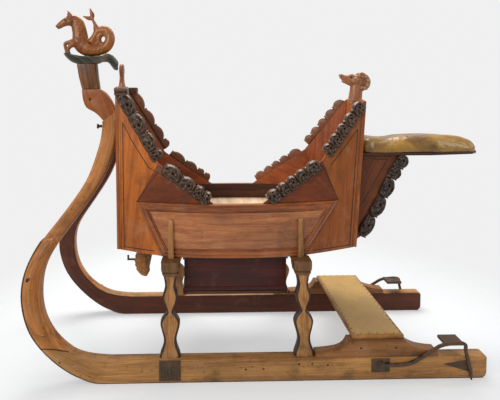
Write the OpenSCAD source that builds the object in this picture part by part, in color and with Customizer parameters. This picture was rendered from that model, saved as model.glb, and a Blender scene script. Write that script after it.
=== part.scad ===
// Ornamental horse-drawn racing sleigh: two runners with tall horns, a bowed boat-like hull on four
// turned-profile posts, a straddle saddle behind it, a footboard and two foot brakes.
// The sleigh faces -X. Left is -Y. The floor is z = 0.

/* [Runners and horns] */
// Distance between the centre planes of the two runners
track = 660; // [550:10:800]
// Thickness of each runner, side to side
runner_t = 60; // [46:1:72]
// Depth of the runner's beam above its iron shoe
runner_h = 103; // [80:1:125]
// Thickness of the iron shoe
shoe_t = 5; // [3:0.5:8]
// How much narrower the shoe is than the runner, each side
shoe_inset = 4; // [0:1:10]
// Place along X where the sole starts to rise
toe_x = -755; // [-800:5:-720]
// How far the runners reach behind the hull's rear edge
heel_back = 553; // [470:1:660]
// How far the horns reach forward of the toe
horn_reach = 357.7; // [300:0.1:420]
// How high the horns rise above the toe
horn_rise = 1153; // [1000:1:1250]
// Thickness of each horn at its top end
horn_top_t = 45; // [36:1:55]
// Chamfer along the horn's four edges
horn_chamfer = 6; // [2:1:10]

/* [Heel blocks and footboard] */
// Gap between the rear posts' feet and the heel blocks
heel_block_gap = 2; // [1:1:10]
// Height of the heel blocks above the runner
heel_block_h = 76; // [50:1:100]
// Front edge of the footboard, measured forward from the hull's rear edge
footboard_in = 58; // [40:1:65]
// Length of the footboard along X
footboard_l = 236; // [180:1:240]
// Thickness of the footboard
footboard_t = 18; // [12:1:25]
// Thickness of the woven mat
mat_t = 4; // [2:0.5:8]
// Bare margin round the mat
mat_margin = 7; // [0:1:20]

/* [Hull] */
// Front edge of the hull's side boards along X
hull_x = -690; // [-690:1:-670]
// Length of the hull's side boards along the bottom
hull_l = 1133; // [930:1:1370]
// Greatest outer width of the hull
hull_w = 490; // [440:1:560]
// Radius of the bowed sides, seen from above
bow_r = 1905; // [1700:5:4000]
// Height of the hull's underside above the floor
hull_z = 530; // [460:1:640]
// Thickness of every hull board
board_t = 16; // [10:1:20]
// Rise of the hull's underside at its two ends
keel_rise = 16; // [8:1:40]
// Height of the sill at the low middle opening, above the underside
sill_h = 254; // [210:1:300]
// Height of the front corners above the underside
front_h = 780; // [650:1:860]
// Height of the rear corners above the underside
rear_h = 728; // [620:1:800]
// How far the rear edge leans back over its height
rear_lean = 42; // [0:1:80]
// Width of the frame mouldings round the middle panel
moulding_w = 40; // [24:1:48]
// How far the frame mouldings stand proud of the boards
moulding_t = 10; // [6:1:14]
// How far the field of the middle panel stands proud
field_t = 6; // [2:1:8]
// Clearance where boards are fitted between the bowed sides
board_gap = 0.3; // [0.1:0.1:1]
// Height of the seat board above the underside
seat_h = 160; // [100:1:180]
// Front edge of the seat board along X
seat_x = -255; // [-300:1:-150]

/* [Posts and bolsters] */
// Front posts, measured back from the hull's front edge
front_post_in = 249; // [220:1:280]
// Rear posts, measured forward from the hull's rear edge
rear_post_in = 275; // [240:1:290]
// Thickness of the posts, side to side
post_t = 40; // [30:1:46]
// How far the posts' tops lean inward
post_lean = 50; // [20:1:80]
// Height of the carved capital
capital_h = 60; // [40:1:80]
// Half width of the carved capital along X
capital_w = 43; // [38:1:50]
// How far the capitals reach in under the hull's sides
capital_under = 14; // [10:1:30]
// Height of the rib above the hull's underside
rib_h = 182; // [120:1:200]
// Half width of the rib
rib_w = 15; // [10:1:20]
// Half width of the bolsters along X
bolster_w = 32; // [20:1:34]

/* [Foot well] */
// Gap between the foot well and each bolster
well_gap = 28; // [14:1:60]
// Width of the foot well
well_w = 390; // [300:1:400]
// Depth of the foot well below the hull
well_h = 192; // [120:1:210]
// Thickness of the foot well's boards
well_t = 14; // [8:1:20]

/* [Saddle] */
// Length of the saddle pad
saddle_l = 629; // [530:1:730]
// Half width of the saddle pad at its front
saddle_w = 112; // [95:1:130]
// Half width of the pad's rear nose
saddle_nose_w = 72; // [60:1:90]
// Height of the saddle board's underside above the hull's underside
saddle_z = 456; // [400:1:500]
// Height of the pad above the underside of its board
pad_h = 88; // [70:1:110]
// Thickness of the saddle board
saddle_board_t = 15; // [10:1:20]
// How far the pad wraps past the edge of its board
pad_wrap = 8; // [5:1:14]
// Length of the two brackets along the saddle board
bracket_l = 236; // [200:1:300]
// Thickness of each bracket
bracket_t = 22; // [16:1:30]
// Distance from the middle plane to a bracket's inner face
bracket_y = 64; // [40:1:72]

/* [Brakes] */
// Brake pivot, measured back from the hull's rear edge
brake_back = 67; // [50:1:85]
// Brake pivot height above the floor
brake_z = 76; // [60:1:90]
// Radius of the pivot pin
brake_pin_r = 7; // [5:0.5:10]
// Radial running clearance round the pivot pin
pin_clear = 0.05; // [0.02:0.01:0.1]
// Side clearance between the lever and the iron beside it
side_clear = 0.5; // [0.3:0.1:1.5]
// Thickness of the lever
lever_t = 10; // [6:1:14]
// Depth of the lever's bar
lever_w = 13; // [9:1:18]
// Length of the pedal
pedal_l = 84; // [60:1:110]
// Thickness of the iron plates on the runners
plate_t = 3; // [2:0.5:5]
// Height of the spike's tip above the floor
tip_gap = 2; // [1:0.5:10]

/* [Prow] */
// Half thickness of the prow block
prow_w = 32; // [26:1:40]
// Height of the prow block above the horns' front edge
prow_h = 160; // [150:1:200]
// Radius of the cross hole in the prow block
prow_hole_r = 6; // [4:0.5:9]
// Height of the prow post
neck_h = 128; // [90:1:160]
// Half thickness of the prow post
neck_w = 29; // [20:1:32]
// Half thickness of the figure's base
base_w = 30; // [20:1:40]
// Radius of the hitch pin
hitch_r = 7; // [5:0.5:9]

/* [Hidden] */
$fn = 48;

oak = "peru";
dark_oak = "sienna";
carved = [0.30, 0.24, 0.17];
iron = [0.22, 0.21, 0.20];

// Levels
runner_top = shoe_t + runner_h;
sill_z = hull_z + sill_h;
end_z = hull_z + keel_rise;
front_z = hull_z + front_h;
rear_z = hull_z + rear_h;
outer_y = track / 2 + runner_t / 2;
capital_z = hull_z - capital_h;

// Places along X
rear_x = hull_x + hull_l;
mid_x = hull_x + hull_l / 2;
front_post_x = hull_x + front_post_in;
rear_post_x = rear_x - rear_post_in;
heel_x = rear_x + heel_back;
footboard_x = rear_x - footboard_in;
brake_x = rear_x + brake_back;
board_x = hull_x - board_t;
lean_a = atan(rear_lean / (rear_z - end_z));

// Corners of the side boards in side view: bottom, sill, peaks of the upper boards, ends
side_b0 = [hull_x + 203, hull_z];
side_b1 = [rear_x - 259, hull_z];
side_t0 = [hull_x + 84, sill_z];
side_t1 = [rear_x - 84, sill_z];
side_p1 = [hull_x + 190, sill_z + 0.352 * (front_z - sill_z)];
side_p2 = [hull_x + 0.396 * hull_l, sill_z];
side_p3 = [rear_x - 0.400 * hull_l, sill_z];
side_p4 = [rear_x - 167, sill_z + 0.414 * (rear_z - sill_z)];
side_f0 = [hull_x, end_z];
side_f1 = [hull_x, front_z];
side_r0 = [rear_x, end_z];
side_r1 = [rear_x + rear_lean, rear_z];
middle_outline = [side_b0, side_b1, side_t1, side_t0];

function unit(v) = v / norm(v);
function left_of(v) = [-v[1], v[0]];
// A smooth curve through every row of a list, n steps between rows
function spline_at(a, b, c, d, t) =
    ((2 * b) + (c - a) * t + (2 * a - 5 * b + 4 * c - d) * t * t + (3 * b - a - 3 * c + d) * t * t * t) / 2;
function smooth(rows, n) = [
    for (i = [0 : len(rows) - 2], k = [0 : n - 1])
        spline_at(rows[max(i - 1, 0)], rows[i], rows[i + 1], rows[min(i + 2, len(rows) - 1)], k / n),
    rows[len(rows) - 1]];
// The side from p to q moved square to itself by d, as a point and a direction
function moved(p, q, d) = [p + d * left_of(unit(q - p)), q - p];
function cross2(a, b) = a[0] * b[1] - a[1] * b[0];
function meet(m, n) = m[0] + m[1] * cross2(n[0] - m[0], n[1]) / cross2(m[1], n[1]);
// A convex outline moved inward by d
function inset(p, d) = [for (i = [0 : len(p) - 1])
    meet(moved(p[(i + len(p) - 1) % len(p)], p[i], d), moved(p[i], p[(i + 1) % len(p)], d))];
// An open line thickened to a band w wide
function tangent(p, i) = unit(p[min(i + 1, len(p) - 1)] - p[max(i - 1, 0)]);
function band(p, w) = concat(
    [for (i = [0 : len(p) - 1]) p[i] + w / 2 * left_of(tangent(p, i))],
    [for (i = [len(p) - 1 : -1 : 0]) p[i] - w / 2 * left_of(tangent(p, i))]);

// A plate drawn in side view, from y0 to y0 + t
module plate(y0, t) translate([0, y0 + t, 0]) rotate([90, 0, 0]) linear_extrude(t) children();
module both_sides(side) mirror([0, side < 0 ? 1 : 0, 0]) children();
// A solid through a list of rings that all have the same number of points
module loft(rings) {
    n = len(rings[0]);
    last = len(rings) - 1;
    polyhedron(
        points = [for (r = rings, p = r) p],
        faces = concat(
            [[for (j = [n - 1 : -1 : 0]) j]],
            [for (i = [0 : last - 1], j = [0 : n - 1]) each [
                [i * n + j, (i + 1) * n + (j + 1) % n, (i + 1) * n + j],
                [i * n + j, i * n + (j + 1) % n, (i + 1) * n + (j + 1) % n]]],
            [[for (j = [0 : n - 1]) last * n + j]]),
        convexity = 6);
}
// A round-sectioned solid in the middle plane: rows are x, z, radius, half width
ring_sides = 12;
module limb(rows, n, y = 0) {
    path = smooth(rows, n);
    loft([for (i = [0 : len(path) - 1])
        let (r = path[i], d = tangent([for (q = path) [q[0], q[1]]], i), s = left_of(d))
        [for (j = [0 : ring_sides - 1])
            let (a = 360 * j / ring_sides)
            [r[0] + s[0] * r[2] * cos(a), y + r[3] * sin(a), r[1] + s[1] * r[2] * cos(a)]]]);
}

// Horn: rows are outer x, outer z, inner x, inner z (from the toe) and the spread between the horns,
// drawn for a horn of nominal reach and rise
horn_reach_0 = 362;
horn_rise_0 = 1153;
horn_rows = [
    [0, 0, 55, 0, 1], [-135, 33, -45, 8, 1], [-282, 178, -125, 32, 1], [-326, 256, -232, 126, 0.95],
    [-360, 362, -276, 257, 0.89], [-353, 462, -268, 378, 0.80], [-332, 525, -249, 433, 0.735],
    [-287, 616, -213, 497, 0.633], [-216, 697, -161, 564, 0.532], [-145, 799, -91, 663, 0.394],
    [-92, 875, -31, 750, 0.285], [-62, 973, 12, 846, 0.151], [-41, 1050, 33, 924, 0.05],
    [-34, 1105, 40, 1000, 0], [-32, 1153, 45, 1105, 0]];
scarf_row = 2;
horn_steps = 4;
function horn_x(v) = toe_x + v * horn_reach / horn_reach_0;
function horn_out_z(v) = shoe_t + v * horn_rise / horn_rise_0;
function horn_in_z(v) = runner_top + v * horn_rise / horn_rise_0;
function horn_line(rows) = [for (r = rows)
    [horn_x(r[0]), horn_out_z(r[1]), horn_x(r[2]), horn_in_z(r[3]), r[4]]];
horn_path = smooth(horn_line(horn_rows), horn_steps);
horn_start = scarf_row * horn_steps;
horn_end = horn_path[len(horn_path) - 1];
horn_top_y = prow_w + horn_top_t / 2;
function horn_y(k) = horn_top_y + max(k, 0) * (track / 2 - horn_top_y);
function horn_t(k) = horn_top_t + k * (runner_t - horn_top_t);
function horn_ring(r) =
    let (o = [r[0], r[1]], i = [r[2], r[3]], d = unit(i - o), c = horn_chamfer,
         y = horn_y(r[4]), h = horn_t(r[4]) / 2, a = o + c * d, b = i - c * d)
    [[a[0], y - h, a[1]], [o[0], y - h + c, o[1]], [o[0], y + h - c, o[1]], [a[0], y + h, a[1]],
     [b[0], y + h, b[1]], [i[0], y + h - c, i[1]], [i[0], y - h + c, i[1]], [b[0], y - h, b[1]]];

module runner(side) color(oak) both_sides(side)
    plate(track / 2 - runner_t / 2, runner_t)
        polygon(concat(
            [[heel_x - 12, shoe_t], [heel_x, shoe_t + 20], [heel_x, runner_top - 8],
             [heel_x - 8, runner_top]],
            [for (i = [0 : horn_start]) [horn_path[i][2], horn_path[i][3]]],
            [for (i = [horn_start : -1 : 0]) [horn_path[i][0], horn_path[i][1]]]));

shoe_last = 7 * horn_steps;
module shoe(side) color(iron) both_sides(side) {
    half = runner_t / 2 - shoe_inset;
    translate([toe_x, track / 2 - half, 0]) cube([heel_x - 12 - toe_x, 2 * half, shoe_t]);
    loft([for (i = [0 : shoe_last])
        let (r = horn_path[i], d = tangent([for (q = horn_path) [q[0], q[1]]], i), s = left_of(d),
             y = horn_y(r[4]), h = horn_t(r[4]) / 2 - shoe_inset,
             o = i == 0 ? [r[0], 0] : [r[0] + s[0] * shoe_t, max(r[1] + s[1] * shoe_t, 0)])
        [[o[0], y - h, o[1]], [o[0], y + h, o[1]], [r[0], y + h, r[1]], [r[0], y - h, r[1]]]]);
}

module horn(side) color(oak) both_sides(side)
    loft([for (i = [horn_start : len(horn_path) - 1]) horn_ring(horn_path[i])]);

module heel_block(side) color(oak) both_sides(side) plate(track / 2 - runner_t / 2, runner_t) {
    x = rear_post_x + post_rows[0][1] + heel_block_gap;
    back = footboard_x + footboard_l;
    translate([0, runner_top]) polygon([[x, 0], [x, 18], [x + 90, 0.56 * heel_block_h],
        [x + 120, 0.92 * heel_block_h], [x + 140, heel_block_h], [back - 15, heel_block_h],
        [back + 12, 0.84 * heel_block_h], [back + 60, 0.56 * heel_block_h],
        [back + 129, 0.37 * heel_block_h], [back + 153, 0]]);
}

footboard_z = runner_top + heel_block_h;
footboard_w = track + runner_t - 30;
module footboard() color(dark_oak) translate([footboard_x, -footboard_w / 2, footboard_z])
    cube([footboard_l, footboard_w, footboard_t]);

module foot_mat() color("tan")
    translate([footboard_x + mat_margin, mat_margin - footboard_w / 2, footboard_z + footboard_t])
        cube([footboard_l - 2 * mat_margin, footboard_w - 2 * mat_margin, mat_t]);

// Post: half widths at shares of the height from the runner to the capital
post_rows = [[0, 46], [0.04, 45], [0.2, 28], [0.41, 45], [0.53, 13], [0.7, 36], [0.84, 24], [1, 36]];
post_run = capital_z - runner_top;
post_foot_y = outer_y - 15 - post_t / 2;
post_sink = 12;
module post_shaft(x) intersection() {
    edge = smooth([for (r = post_rows) [r[1], r[0] * post_run]], 5);
    translate([x, post_foot_y, runner_top]) rotate([atan(post_lean / post_run), 0, 0])
        plate(-post_t / 2, post_t) polygon(concat(
            [[post_rows[0][1], -post_sink]], edge, [[post_rows[7][1], post_run + post_sink]],
            [[-post_rows[7][1], post_run + post_sink]],
            [for (i = [len(edge) - 1 : -1 : 0]) [-edge[i][0], edge[i][1]]],
            [[-post_rows[0][1], -post_sink]]));
    translate([x - 100, 0, runner_top]) cube([200, outer_y, hull_z - runner_top]);
}

module post(x, side) color(oak) both_sides(side) {
    post_shaft(x);
    out = post_foot_y + post_t / 2 - post_lean + 6;
    inner = hull_y(x) - capital_under;
    translate([x - capital_w, inner, capital_z + capital_h / 3])
        cube([2 * capital_w, out - inner, capital_h * 2 / 3]);
    side_board([[x - rib_w, hull_z], [x + rib_w, hull_z], [x + rib_w - 2, hull_z + rib_h],
        [x - rib_w + 2, hull_z + rib_h]], moulding_t, moulding_t + 16);
}

module bolster(x) color(dark_oak) {
    y = hull_y(x) - capital_under;
    translate([x - bolster_w, -y, capital_z + capital_h / 3])
        cube([2 * bolster_w, 2 * y, capital_h * 2 / 3]);
}

module post_straps() color(iron) for (side = [-1, 1]) both_sides(side)
    translate([front_post_x - 48, outer_y, 15]) cube([96, plate_t + 1, runner_top - 15]);

// A board bent to the hull's side, from in_t outside the side surface to out_t outside it
module side_board(outline, in_t, out_t) intersection() {
    plate(0, hull_w) polygon(outline);
    translate([mid_x, hull_w / 2 - bow_r, 0]) difference() {
        cylinder(r = bow_r + out_t, h = front_z + 200, $fn = 360);
        translate([0, 0, -1]) cylinder(r = bow_r + in_t, h = front_z + 202, $fn = 360);
    }
}
// A flat board fitted between the two bowed sides
module fitted_board(outline) intersection() {
    plate(-hull_w / 2, hull_w) polygon(outline);
    for_inside = bow_r - board_t - board_gap;
    translate([mid_x, hull_w / 2 - bow_r, 0]) cylinder(r = for_inside, h = front_z, $fn = 360);
    translate([mid_x, bow_r - hull_w / 2, 0]) cylinder(r = for_inside, h = front_z, $fn = 360);
}
// Half width of the hull's outside at a place along X
function hull_y(x) = hull_w / 2 - bow_r + sqrt(bow_r * bow_r - (x - mid_x) * (x - mid_x));

module floor_front() color(dark_oak)
    fitted_board([side_f0, side_b0, side_b0 + [0, board_t], side_f0 + [0, board_t]]);
module floor_rear() color(dark_oak)
    fitted_board([side_b1, side_r0, side_r0 + [0, board_t], side_b1 + [0, board_t]]);
well_x = front_post_x + bolster_w + well_gap;
well_l = rear_post_x - bolster_w - well_gap - well_x;
module floor_middle() color(dark_oak) difference() {
    fitted_board([side_b0, side_b1, side_b1 + [0, board_t], side_b0 + [0, board_t]]);
    translate([well_x + well_t, well_t - well_w / 2, hull_z - 1])
        cube([well_l - 2 * well_t, well_w - 2 * well_t, board_t + 2]);
}
module well_walls() color(dark_oak) translate([well_x, -well_w / 2, hull_z - well_h + well_t])
    difference() {
        cube([well_l, well_w, well_h - well_t]);
        translate([well_t, well_t, -1])
            cube([well_l - 2 * well_t, well_w - 2 * well_t, well_h]);
    }
module well_floor() color(dark_oak) translate([well_x - 6, -well_w / 2 - 6, hull_z - well_h])
    cube([well_l + 12, well_w + 12, well_t]);
module seat_board() color(oak) fitted_board([
    [seat_x, hull_z + seat_h], [rear_x - 4, hull_z + seat_h],
    [rear_x - 4, hull_z + seat_h + board_t], [seat_x, hull_z + seat_h + board_t]]);

finial_z = 134;
module front_board() color(oak) {
    w = hull_y(hull_x);
    half = concat([[w, end_z], [w, front_z]],
        smooth([[w - 14, front_z + 20], [70, front_z + 22], [36, front_z + 44], [26, front_z + 74],
            [38, front_z + 102], [24, front_z + finial_z - 6], [0, front_z + finial_z]], 4));
    translate([board_x, 0, 0]) rotate([90, 0, 90]) linear_extrude(board_t)
        polygon(concat(half, [for (i = [len(half) - 2 : -1 : 0]) [-half[i][0], half[i][1]]]));
}
rear_run = norm(side_r1 - side_r0);
module rear_board() color(oak) translate([side_r0[0], 0, side_r0[1]]) rotate([0, lean_a, 0])
    rotate([90, 0, 90]) linear_extrude(board_t) polygon([
        [-hull_y(rear_x), 0], [hull_y(rear_x), 0], [hull_y(side_r1[0]), rear_run],
        [60, rear_run + 12], [-60, rear_run + 12], [-hull_y(side_r1[0]), rear_run]]);

module front_panel(side) color(oak) both_sides(side)
    side_board([side_f0, side_b0, side_t0, side_p1, side_f1], -board_t, 0);
module upper_front(side) color(oak) both_sides(side)
    side_board([side_t0, side_p2, side_p1], -board_t, 0);
module upper_rear(side) color(oak) both_sides(side)
    side_board([side_p3, side_t1, side_p4], -board_t, 0);
module rear_panel(side) color(oak) both_sides(side)
    side_board([side_b1, side_r0, side_r1, side_p4, side_t1], -board_t, 0);
field = inset(middle_outline, moulding_w);
module middle_panel(side) color(dark_oak) both_sides(side) {
    side_board(middle_outline, -board_t, 0);
    side_board(field, 0, field_t);
}
module side_frame(side) color(oak) both_sides(side) {
    m = middle_outline;
    for (i = [0 : 3])
        side_board([m[i], m[(i + 1) % 4], field[(i + 1) % 4], field[i]], 0, moulding_t);
}

// Carved crest: a scalloped strip along a top edge
crest_in = 26;
crest_out = 22;
crest_t = 20;
lobe_steps = 6;
module crest(a, b, lobes) {
    d = b - a;
    n = left_of(unit(d));
    side_board(concat(
        [a - crest_in * n, b - crest_in * n],
        [for (i = [lobes * lobe_steps : -1 : 0])
            let (t = i / (lobes * lobe_steps))
            a + t * d + (8 + crest_out * abs(sin(180 * lobes * t))) * n]), 0, crest_t);
}
module crest_front(side) color(carved) both_sides(side) {
    crest(side_p1 + [8, 24], side_f1 + [14, 16], 5);
    crest(side_p2 + [-40, 32], side_p1 + [24, -12], 4);
}
module crest_rear(side) color(carved) both_sides(side) {
    crest(side_r1 + [-15, -13], side_p4 + [14, 30], 5);
    crest(side_p4 + [-20, -10], side_p3 + [42, 32], 4);
}

// Saddle and its brackets, from the rear face of the rear board
saddle_low = hull_z + saddle_z;
function rear_face(z) = side_r0[0] + board_t / cos(lean_a) + (z - end_z) * tan(lean_a);
saddle_x = rear_face(saddle_low) + 4;
module bracket(side) color(dark_oak) both_sides(side) plate(bracket_y, bracket_t) {
    top = saddle_low;
    x = rear_face(top);
    low = end_z;
    run = top - low;
    polygon([[rear_face(low), low], [x, top], [x + bracket_l, top],
        [x + 0.88 * bracket_l, top - 0.13 * run], [x + 0.70 * bracket_l, top - 0.27 * run],
        [x + 0.54 * bracket_l, top - 0.48 * run], [x + 0.32 * bracket_l, top - 0.70 * run],
        [x + 0.08 * bracket_l, top - 0.93 * run]]);
}
board_tip = 40;
module saddle_board() color(dark_oak) translate([0, 0, saddle_low]) linear_extrude(saddle_board_t) {
    x = saddle_x + pad_wrap;
    w = saddle_w - pad_wrap;
    nose = saddle_nose_w - pad_wrap;
    tip = saddle_x + saddle_l - pad_wrap;
    polygon([[x, -w], [x + 0.55 * saddle_l, -w], [tip - board_tip, -nose], [tip, -nose / 2],
        [tip, nose / 2], [tip - board_tip, nose], [x + 0.55 * saddle_l, w], [x, w]]);
}
pad_ball_r = 45;
module saddle_pad() color([0.60, 0.49, 0.20]) difference() {
    intersection() {
        z = saddle_low + pad_h - pad_ball_r;
        hull() {
            for (s = [-1, 1]) {
                translate([saddle_x + pad_ball_r, s * (saddle_w - pad_ball_r), z - 8])
                    sphere(pad_ball_r, $fn = 32);
                translate([saddle_x + 0.6 * saddle_l, s * (saddle_w - pad_ball_r), z])
                    sphere(pad_ball_r, $fn = 32);
                translate([saddle_x + saddle_l - pad_ball_r - 12, s * (saddle_nose_w - pad_ball_r), z - 12])
                    sphere(pad_ball_r, $fn = 32);
            }
            translate([saddle_x + saddle_l - pad_ball_r, 0, z - 16]) sphere(pad_ball_r, $fn = 32);
        }
        translate([saddle_x - 1, -saddle_w - 1, saddle_low])
            cube([saddle_l + 2, 2 * saddle_w + 2, pad_h + 1]);
    }
    saddle_board();
}

// Animal head on the rear board: muzzle, skull and mane, then the neck
head_x = side_r1[0] + 6;
module rear_head() color(oak) {
    translate([head_x, 0, rear_z]) {
        limb([[-80, 124, 9, 9], [-66, 118, 14, 14], [-38, 108, 22, 19], [-8, 102, 30, 26],
            [30, 96, 31, 28], [56, 88, 18, 18]], 3);
        limb([[2, 96, 26, 22], [4, 50, 33, 28], [-2, -4, 36, 30]], 4);
    }
}

// Brake lever: bar from the pivot, up to the pedal, down to the spike
lever_y = outer_y + plate_t + side_clear;
pedal_z = runner_top + 62;
lever_line = [[0, 0], [93, 0], [150, 14], [232, 64], [284, pedal_z - brake_z - 4],
    [290 + pedal_l, pedal_z - brake_z], [300 + pedal_l, pedal_z - brake_z - 36],
    [322 + pedal_l, 0.4 * (tip_gap - brake_z)]];
module brake_lever(side) color(iron) both_sides(side) difference() {
    union() {
        translate([brake_x, 0, brake_z]) plate(lever_y, lever_t) {
            polygon(band(smooth(lever_line, 4), lever_w));
            polygon([lever_line[7] + [-7, 6], lever_line[7] + [7, 6], [330 + pedal_l, tip_gap - brake_z],
                [326 + pedal_l, tip_gap - brake_z]]);
        }
        translate([brake_x, lever_y, brake_z]) rotate([-90, 0, 0])
            cylinder(r = brake_pin_r + 10, h = lever_t);
        translate([brake_x + 286, outer_y - runner_t, pedal_z - lever_w / 2])
            cube([pedal_l, runner_t + plate_t + side_clear + lever_t, lever_w]);
    }
    translate([brake_x, lever_y - 1, brake_z]) rotate([-90, 0, 0])
        cylinder(r = brake_pin_r + pin_clear, h = lever_t + 2);
}
pivot_plate_h = 64;
module brake_pivot(side) color(iron) both_sides(side) {
    translate([brake_x - 42, outer_y, brake_z - pivot_plate_h / 2 - 6])
        cube([84, plate_t, pivot_plate_h]);
    translate([brake_x, outer_y, brake_z]) rotate([-90, 0, 0])
        cylinder(r = brake_pin_r, h = plate_t + 2 * side_clear + lever_t + 1);
    translate([brake_x, lever_y + lever_t + side_clear, brake_z]) rotate([-90, 0, 0])
        cylinder(r = brake_pin_r + 6, h = 5);
}
module brake_guide(side) color(iron) both_sides(side) plate(outer_y, plate_t)
    polygon([[brake_x + 288, brake_z - 4], [brake_x + 406, brake_z - 42], [brake_x + 406, brake_z + 14]]);

// Prow: block between the horns, post, wave-shaped base and sea horse
prow_x = horn_end[0];
prow_z = horn_end[1];
prow_top = prow_z + prow_h;
prow_low = prow_z - 100;
hole_at = [prow_x - 65, prow_z + 109];
module prow_block() color(oak) difference() {
    plate(-prow_w, 2 * prow_w) polygon(concat(
        [[prow_x, prow_low], [board_x, prow_low], [board_x, prow_z + 30]],
        smooth([[prow_x + 66, prow_z + 36], [prow_x + 46, prow_z + 76], [prow_x + 28, prow_z + 111],
            [prow_x + 4, prow_z + 142], [prow_x - 24, prow_top]], 3),
        smooth([[prow_x - 107, prow_top], [prow_x - 102, prow_z + 109], [prow_x - 86, prow_z + 69],
            [prow_x - 50, prow_z + 47], [prow_x - 26, prow_z + 28], [prow_x, prow_z - 2]], 3)));
    translate([hole_at[0], -prow_w - 1, hole_at[1]]) rotate([-90, 0, 0])
        cylinder(r = prow_hole_r, h = 2 * prow_w + 2);
}
neck_top = prow_top + neck_h;
module prow_post() color(oak) plate(-neck_w, 2 * neck_w) polygon([
    [prow_x - 107, prow_top], [prow_x - 24, prow_top], [prow_x - 32, prow_top + 0.5 * neck_h],
    [prow_x - 37, neck_top], [prow_x - 131, neck_top], [prow_x - 122, prow_top + 0.5 * neck_h]]);
module figure_base() color(carved) translate([prow_x, 0, neck_top]) plate(-base_w, 2 * base_w)
    polygon(concat(
        smooth([[-194, 52], [-183, 34], [-158, 10], [-131, 0]], 3),
        smooth([[-37, 0], [12, 11], [38, -7], [58, -33], [68, -15], [63, 14], [46, 40], [24, 50],
            [-10, 40], [-70, 38], [-140, 42], [-180, 56]], 3)));
// Rows of the horse's body run from the muzzle, along the back and round the coiled tail
horse_rows = [
    [-233, 181, 11, 9], [-221, 188, 15, 11], [-198, 203, 19, 13], [-168, 214, 27, 16],
    [-134, 204, 34, 19], [-120, 160, 37, 24], [-113, 104, 42, 30], [-86, 74, 36, 32], [-38, 66, 28, 30],
    [12, 84, 27, 26], [32, 126, 25, 24], [12, 164, 26, 22], [-26, 164, 24, 18], [-42, 196, 10, 9],
    [-56, 226, 6, 7]];
module sea_horse() color(oak) translate([prow_x, 0, neck_top]) {
    limb(horse_rows, 4);
    limb([[-28, 164, 20, 18], [-44, 134, 18, 20], [-62, 104, 24, 22]], 3);
    limb([[-136, 112, 24, 14], [-178, 107, 12, 10], [-197, 101, 9, 9], [-193, 72, 8, 8], [-188, 48, 8, 8]],
        3, 12);
    limb([[-136, 104, 24, 14], [-164, 88, 12, 10], [-176, 66, 9, 9], [-168, 44, 9, 9]], 3, -12);
    limb([[-52, 222, 5, 5], [-74, 227, 11, 6], [-102, 238, 3, 4]], 3);
    limb([[-54, 222, 5, 5], [-55, 244, 12, 6], [-67, 276, 3, 4]], 3);
    limb([[-152, 214, 14, 12], [-166, 234, 10, 8], [-180, 250, 4, 4]], 2);
}
hitch_z = prow_z - 28;
module hitch_pin() color(iron) {
    translate([prow_x - 34, 0, hitch_z]) rotate([0, 90, 0]) cylinder(r = hitch_r, h = 34);
    translate([prow_x - 40, 0, hitch_z]) rotate([0, 90, 0]) cylinder(r = hitch_r + 5, h = 8);
}

// Carved drop under the hull's front, with an iron hook
corbel_x = hull_x + 90;
function keel_z(x) = hull_z + keel_rise * (side_b0[0] - x) / (side_b0[0] - hull_x);
module corbel() color(carved) plate(-28, 56) polygon(concat(
    [[corbel_x + 48, keel_z(corbel_x + 48)], [corbel_x - 32, keel_z(corbel_x - 32)]],
    smooth([[corbel_x - 30, keel_z(corbel_x) - 50], [corbel_x - 42, keel_z(corbel_x) - 100],
        [corbel_x - 24, keel_z(corbel_x) - 160], [corbel_x + 20, keel_z(corbel_x) - 180],
        [corbel_x + 34, keel_z(corbel_x) - 120], [corbel_x + 48, keel_z(corbel_x) - 60]], 3)));
hook_at = [corbel_x - 42, keel_z(corbel_x) - 100];
module trace_hook() color(iron) translate([hook_at[0] - 36, 0, hook_at[1]]) {
    rotate([0, 90, 0]) cylinder(r = 5, h = 40);
    translate([0, 0, -4]) cylinder(r = 5, h = 26);
}

runner(-1);  // runner_left
runner(1);  // runner_right
shoe(-1);  // shoe_left
shoe(1);  // shoe_right
horn(-1);  // horn_left
horn(1);  // horn_right
heel_block(-1);  // heel_block_left
heel_block(1);  // heel_block_right
footboard();
foot_mat();
post(front_post_x, -1);  // post_front_left
post(front_post_x, 1);  // post_front_right
post(rear_post_x, -1);  // post_rear_left
post(rear_post_x, 1);  // post_rear_right
bolster(front_post_x);  // bolster_front
bolster(rear_post_x);  // bolster_rear
post_straps();
well_walls();
well_floor();
floor_front();
floor_middle();
floor_rear();
front_board();
rear_board();
seat_board();
front_panel(-1);  // front_panel_left
front_panel(1);  // front_panel_right
upper_front(-1);  // upper_front_left
upper_front(1);  // upper_front_right
middle_panel(-1);  // middle_panel_left
middle_panel(1);  // middle_panel_right
side_frame(-1);  // side_frame_left
side_frame(1);  // side_frame_right
upper_rear(-1);  // upper_rear_left
upper_rear(1);  // upper_rear_right
rear_panel(-1);  // rear_panel_left
rear_panel(1);  // rear_panel_right
crest_front(-1);  // crest_front_left
crest_front(1);  // crest_front_right
crest_rear(-1);  // crest_rear_left
crest_rear(1);  // crest_rear_right
bracket(-1);  // bracket_left
bracket(1);  // bracket_right
saddle_board();
saddle_pad();
rear_head();
brake_lever(-1);  // brake_lever_left
brake_lever(1);  // brake_lever_right
brake_pivot(-1);  // brake_pivot_left
brake_pivot(1);  // brake_pivot_right
brake_guide(-1);  // brake_guide_left
brake_guide(1);  // brake_guide_right
prow_block();
prow_post();
figure_base();
sea_horse();
hitch_pin();
corbel();
trace_hook();
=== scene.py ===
import math
import random

import bmesh
import bpy
from mathutils import Matrix, Vector, noise
from mathutils.bvhtree import BVHTree


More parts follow.
